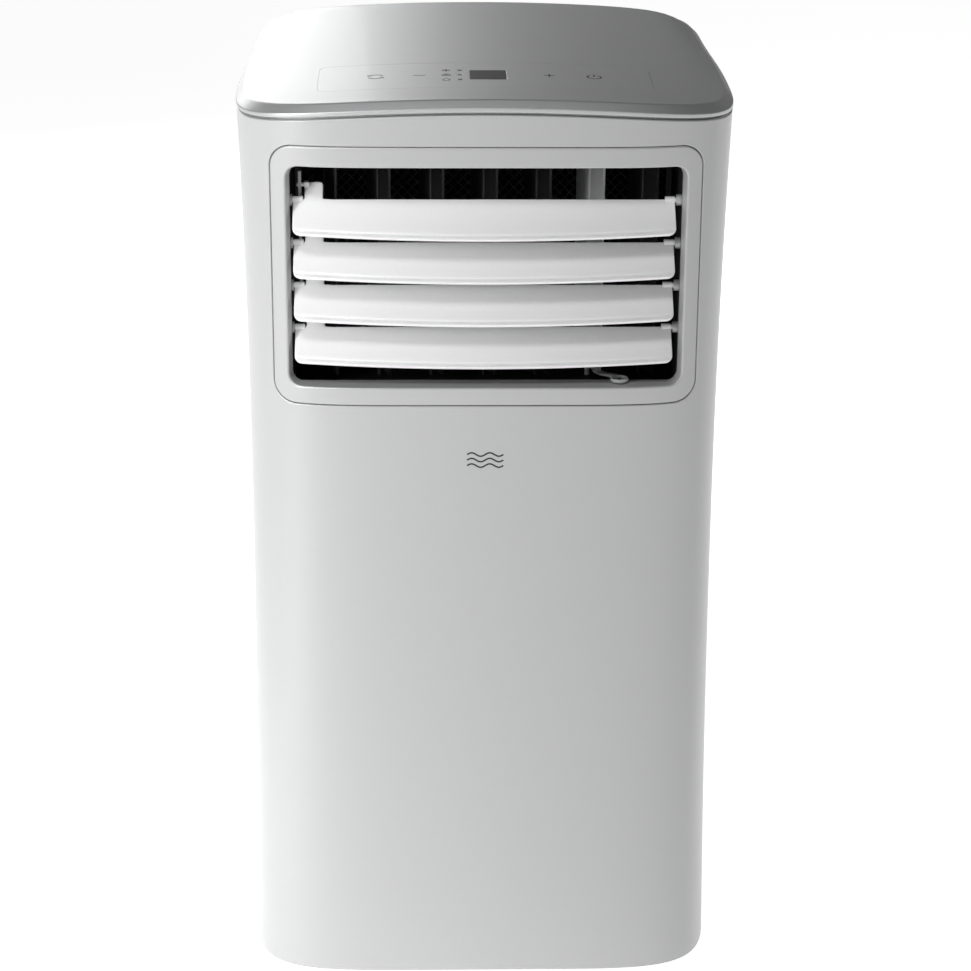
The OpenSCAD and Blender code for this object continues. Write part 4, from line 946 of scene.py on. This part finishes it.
CORNER_R = 6.0
turn = np.radians(np.arange(8) * 90 / 7)
corner = np.stack([half - CORNER_R * (1 - np.sin(turn)),
                   front_of_blade(half - CORNER_R) - CORNER_R * (1 - np.cos(turn))], axis=-1)
blade_loop = list(corner) + [(half, 8.0), (half, 0.6), (half - 0.6, 0.0)]
blade_loop += [(x, 0.0) for x in np.arange(half - 8, -half + 22, -8.0)]
# The tab, from its right side to its left, measured from the blade's left end
blade_loop += [(x - half, v) for x, v in
               ((21.4, -0.4), (21.0, -1.0), (21.0, -12.0), (20.2, -13.6), (18.6, -14.2),
                (12.0, -14.2), (9.0, -12.6), (8.0, -10.4), (8.0, -1.0), (7.6, -0.4),
                (7.0, 0.0), (0.6, 0.0), (0.0, 0.6), (0.0, 8.0))]
blade_loop += list(corner[::-1] * (-1, 1))
blade_loop += [(x, float(front_of_blade(x))) for x in
               np.linspace(-half + CORNER_R, half - CORNER_R, 60)[1:-1]]
blade_loop = closer(np.array(blade_loop), 6.0)


def blade_place(pivot_z):
    """The blade's plane: u along the pivots, v forward and down from them."""
    def place(u, v, depth):
        bead = 0.45 * np.exp(-((front_of_blade(u) - v - 3.2) / 0.9) ** 2)
        lift = BLADE_T / 2 - depth - bead * (1.0 - depth / BLADE_T)
        y = LOUVER_Y - v * math.cos(TILT) - lift * math.sin(TILT)
        z = pivot_z - v * math.sin(TILT) + lift * math.cos(TILT)
        return np.stack([u + blade_middle, y + 0.0 * u, z + 0.0 * u], axis=-1)
    return place


fine = [np.array([(x, front_of_blade(x) - g) for x in np.arange(-half + 4, half - 4, 5.0)])
        for g in (1.6, 2.4, 3.2, 4.0, 4.9, 6.2)]
coarse = grid_over(blade_loop, 6.0, 5.0)
coarse = coarse[front_of_blade(coarse[:, 0]) - coarse[:, 1] > 8.0]
blade_grid = np.concatenate(fine + [coarse])
for i, z in enumerate(LOUVER_Z):
    blade = Moulding()
    blade.wall(blade_loop, [], blade_grid, blade_place(z), BLADE_T, 0.95)
    blade.round_bar((LOUVER_X0, LOUVER_Y, z), (1, 0, 0), 2.5, 7.0)
    blade.round_bar((LOUVER_X1 - 7.0, LOUVER_Y, z), (1, 0, 0), 2.5, 7.0)
    blade.round_bar((-DUCT_HALF - 2.4, LOUVER_Y, z), (1, 0, 0), 2.0, 8.0)
    blade.round_bar((DUCT_HALF + 2.4, LOUVER_Y, z), (-1, 0, 0), 2.0, 11.0)
    blade.round_bar((-132.5, LOUVER_Y + 8.0, z + 9.0), (1, 0, 0), 1.5, 9.0)
    blade.block((-127.0, LOUVER_Y + 5.6, z + 6.6), (-124.0, LOUVER_Y + 10.2, z + 11.0))
    blade.piece(f"louver_{i + 1}", blade_finish, f"louver_{i + 1}", "louvre_plastic",
                f"louver_{i + 1}")
paint(["louver_link"], link_finish)


# --------------------
# Vanes: seven upright blades behind the louvres, joined by a link. The sixth,
# in light grey, carries the thumb lever that reaches out over the sill.
# --------------------

VANE_Y, VANE_X, VANE_CHORD, VANE_T = -102.5, 76.0, 50.0, 1.8
VANE_Z0, VANE_Z1, YAW = 480.0, 640.0, math.radians(19.0)
REACH, PAD_R, PAD_Z, PAD_T = 60.5, 6.5, 486.2, 2.2

paint([f"vane_{i}" for i in (1, 2, 3, 4, 5, 7)] + ["vane_link", "air_duct"], dark_abs)


def vane_place(points):
    """From the lever vane's own upright frame, with its lever along -Y, to the unit's."""
    points = np.asarray(points, float)
    x = points[..., 0] * math.cos(YAW) - points[..., 1] * math.sin(YAW)
    y = points[..., 0] * math.sin(YAW) + points[..., 1] * math.cos(YAW)
    return np.stack([x + VANE_X, y + VANE_Y, points[..., 2]], axis=-1)


lever_vane = Moulding()
outline = closer(rounded_loop(VANE_CHORD, VANE_Z1 - VANE_Z0, 2.0, 4,
                              (0.0, (VANE_Z0 + VANE_Z1) / 2)), 6.0)
lever_vane.wall(outline, [], grid_over(outline, 8.0, 8.0),
                lambda u, v, depth: vane_place(np.stack(
                    [VANE_T / 2 - depth + 0 * u, u, v], axis=-1)), VANE_T, 0.6)
lever_vane.round_bar(vane_place((0, 0, 470.7)), (0, 0, 1), 2.0, 180.1)
lever_vane.round_bar(vane_place((0, 21, VANE_Z1 - 6)), (0, 0, 1), 1.5, 9.5)
# The pad: a round dish with a raised rim
turns = np.linspace(0, 2 * np.pi, 48, endpoint=False)
dish = [(0.5, -PAD_T), (PAD_R - 0.8, -PAD_T), (PAD_R - 0.15, -PAD_T + 0.4), (PAD_R, -0.6),
        (PAD_R - 0.1, 0.15), (PAD_R - 0.5, 0.5), (PAD_R - 1.0, 0.5), (PAD_R - 1.4, 0.1),
        (PAD_R - 2.0, -0.45), (PAD_R - 3.5, -0.6), (0.5, -0.65)]
lever_vane.web([vane_place(np.stack([r * np.cos(turns), -REACH + r * np.sin(turns),
                                     PAD_Z + PAD_T + h + 0 * turns], axis=-1))
                for r, h in dish], flip=True)
# The stem: from under the pad, back over the sill and up to the vane's foot
stem_path = [(-REACH + 5.0, 0.0, 2.7), (-REACH + 8.5, 0.0, 2.9), (-50.5, -0.3, 3.0),
             (-48.0, -0.9, 3.0), (-30.0, -5.0, 3.0), (-17.0, -6.6, 2.6)]
stem_rows = []
for y, drop_z, half_width in stem_path:
    section = closer(rounded_loop(2 * half_width, PAD_T, 0.8, 3), 3.0)
    stem_rows.append(vane_place(np.stack(
        [section[:, 0], y + 0 * section[:, 0],
         PAD_Z + PAD_T / 2 + drop_z + section[:, 1]], axis=-1)))
lever_vane.web(stem_rows)
lever_vane.piece("vane_6", link_finish, "vane_6", "grey_plastic", "vane_6")


# --------------------
# Carry handles, drains and cord gland: moulded cups let into both sides, dark
# rubber bungs in the drain spigots, and a nylon bush where the cord leaves.
# --------------------

cup_finish = Finish("silver_white_abs_cup", (0.56, 0.565, 0.57), 0.42)
cup_finish.bump(cup_finish.noise(2200.0), 0.00005)
paint(["handle_cups"], cup_finish)
paint(["upper_drain_cap", "lower_drain_cap"], rubber)
paint(["cord_gland"], fork_finish)
paint(["shell_screws"], steel)

mesh_finish = Finish("filter_mesh", (0.05, 0.055, 0.06), 0.7)
mesh_finish.bump(mesh_finish.bands(900.0, "X") * mesh_finish.bands(900.0, "Z"), 0.0004)
paint(["upper_filter", "lower_filter"], mesh_finish)


# --------------------
# Repeated work: the welded wire guard behind the vanes, and the sloping slats
# of both filter grilles, which tilt out on two pins at their lower edge.
# --------------------


def repeated(name, unit_mesh, finish, middle, size, counts):
    """Copies of one small mesh at the crossings of an upright grid, as plain geometry."""
    tree = bpy.data.node_groups.new(name, "GeometryNodeTree")
    sockets = {}
    for label, kind in (("Unit", "NodeSocketObject"), ("Width", "NodeSocketFloat"),
                        ("Height", "NodeSocketFloat"), ("Columns", "NodeSocketInt"),
                        ("Rows", "NodeSocketInt")):
        sockets[label] = tree.interface.new_socket(label, in_out="INPUT", socket_type=kind)
    tree.interface.new_socket("Geometry", in_out="OUTPUT", socket_type="NodeSocketGeometry")
    given, result = (tree.nodes.new("NodeGroup" + kind) for kind in ("Input", "Output"))
    grid, upright, unit_info, copies, real, paint_on = (
        tree.nodes.new("GeometryNode" + kind) for kind in
        ("MeshGrid", "Transform", "ObjectInfo", "InstanceOnPoints", "RealizeInstances",
         "SetMaterial"))
    upright.inputs["Rotation"].default_value = (math.pi / 2, 0.0, 0.0)
    paint_on.inputs["Material"].default_value = finish.material
    for source, out, target, key in (
            (given, "Width", grid, "Size X"), (given, "Height", grid, "Size Y"),
            (given, "Columns", grid, "Vertices X"), (given, "Rows", grid, "Vertices Y"),
            (given, "Unit", unit_info, "Object"), (grid, "Mesh", upright, "Geometry"),
            (upright, "Geometry", copies, "Points"),
            (unit_info, "Geometry", copies, "Instance"),
            (copies, "Instances", real, "Geometry"), (real, "Geometry", paint_on, "Geometry"),
            (paint_on, "Geometry", result, "Geometry")):
        tree.links.new(source.outputs[out], target.inputs[key])
    unit_object = put(name + "_unit", unit_mesh)
    holder = put(name + "_grid", bpy.data.meshes.new(name + "_grid"))
    spread = holder.modifiers.new("copies", "NODES")
    spread.node_group = tree
    for label, value in (("Unit", unit_object), ("Width", size[0] * MM),
                         ("Height", size[1] * MM), ("Columns", counts[0]),
                         ("Rows", counts[1])):
        spread[sockets[label].identifier] = value
    bpy.context.view_layer.update()
    graph = bpy.context.evaluated_depsgraph_get()
    plain = bpy.data.meshes.new_from_object(holder.evaluated_get(graph))
    for spare in (unit_object, holder):
        bpy.data.objects.remove(spare)
    for vertex in plain.vertices:
        vertex.co += Vector(middle) * MM
    return plain


wire = Finish("coated_wire", (0.020, 0.021, 0.022), 0.45)
wire.feed("Roughness", wire.noise(300.0) * 0.2 + 0.4)
GUARD_Y, CELL, WIRE_R, RIM_W = -69.0, 7.4, 0.42, 4.0
cross = Moulding()
for turn in (45, -45):
    a = math.radians(turn)
    way = np.array([math.cos(a), 0.0, math.sin(a)])
    turns = np.arange(6) * np.pi / 3
    out = np.outer(np.cos(turns), [0, 1, 0]) + np.outer(np.sin(turns), [-way[2], 0, way[0]])
    shift = np.array([0.0, 0.35 * np.sign(turn), 0.0])
    cross.web([way * l + out * WIRE_R + shift for l in (-CELL * 0.73, CELL * 0.73)])
columns = int((2 * DUCT_HALF - 6) // CELL)
lines = int((DUCT_Z1 - DUCT_Z0 - 6) // CELL)
guard_mesh = repeated("guard", cross.mesh("guard_cross", wire), wire,
                      (0.0, GUARD_Y, (DUCT_Z0 + DUCT_Z1) / 2),
                      ((columns - 1) * CELL, (lines - 1) * CELL), (columns, lines))
ready("outlet_guard", guard_mesh, "cabinet", "dark_plastic", "outlet_guard")
guard_rim = Moulding()
guard_rim.surround((-DUCT_HALF + RIM_W, DUCT_Z0 + RIM_W), (DUCT_HALF - RIM_W, DUCT_Z1 - RIM_W),
                   RIM_W, GUARD_Y - 1.5, GUARD_Y + 1.0)
guard_rim.piece("guard_rim", wire, "cabinet", "dark_plastic")

grille_finish = Finish("grey_white_abs", (0.55, 0.553, 0.556), 0.4)
grille_finish.bump(grille_finish.noise(2200.0), 0.00004)
GRILLE_T, EDGE, POST, PITCH = 8.0, 10.0, 8.0, 10.0
PIN_OUT, PIN_R, SLAT_LEAN = 3.5, 2.0, math.radians(-28)
for name, (x, w, z0, z1) in zip(("upper_grille", "lower_grille"), windows):
    hinge_y, hinge_z = GRILLE_Y0 + GRILLE_T / 2, z0 + GRILLE_T / 2
    count = int((z1 - z0 - 2 * EDGE - GRILLE_T / 2) // PITCH)
    slot_w = (w - 2 * EDGE - POST) / 2
    low = hinge_z + EDGE
    high = low + count * PITCH
    y1 = GRILLE_Y0 + GRILLE_T
    frame_loop = closer(rounded_loop(w, z1 - z0 - GRILLE_T / 2, 2.5, 4,
                                     (x, (hinge_z + z1) / 2)), 8.0)
    slots = [closer(rounded_loop(slot_w, high - low, 2.0, 4,
                                 (x + side * (POST / 2 + slot_w / 2), (low + high) / 2)), 8.0)
             for side in (-1, 1)]
    border = Moulding()
    border.wall(frame_loop, slots, grid_over(frame_loop, 8.0, 8.0),
                lambda u, v, depth: np.stack([u, y1 - depth + 0 * u, v], axis=-1),
                GRILLE_T, 0.8)
    border.round_bar((x - w / 2, hinge_y, hinge_z), (1, 0, 0), GRILLE_T / 2, w)
    border.round_bar((x - w / 2 - PIN_OUT, hinge_y, hinge_z), (1, 0, 0), PIN_R,
                     w + 2 * PIN_OUT)
    border.piece(name, grille_finish, name, "grey_plastic", name)
    slat = Moulding()
    section = rounded_loop(7.6, 2.0, 0.9, 4)
    y, z = (section @ np.array([[math.cos(SLAT_LEAN), math.sin(SLAT_LEAN)],
                                [-math.sin(SLAT_LEAN), math.cos(SLAT_LEAN)]])).T
    slat.web([np.stack([l + 0 * y, y, z], axis=-1) for l in
              (-slot_w / 2 - 1.0, 0.0, slot_w / 2 + 1.0)])
    slat_mesh = slat.mesh(name + "_slat", grille_finish)
    slat_mesh.shade_smooth()
    slat_mesh.set_sharp_from_angle(angle=math.radians(50))
    slats = repeated(name + "_slats", slat_mesh, grille_finish,
                     (x, hinge_y + 0.3, (low + high) / 2),
                     (POST + slot_w, (count - 1) * PITCH), (2, count))
    ready(name + "_slats", slats, name, "grey_plastic")
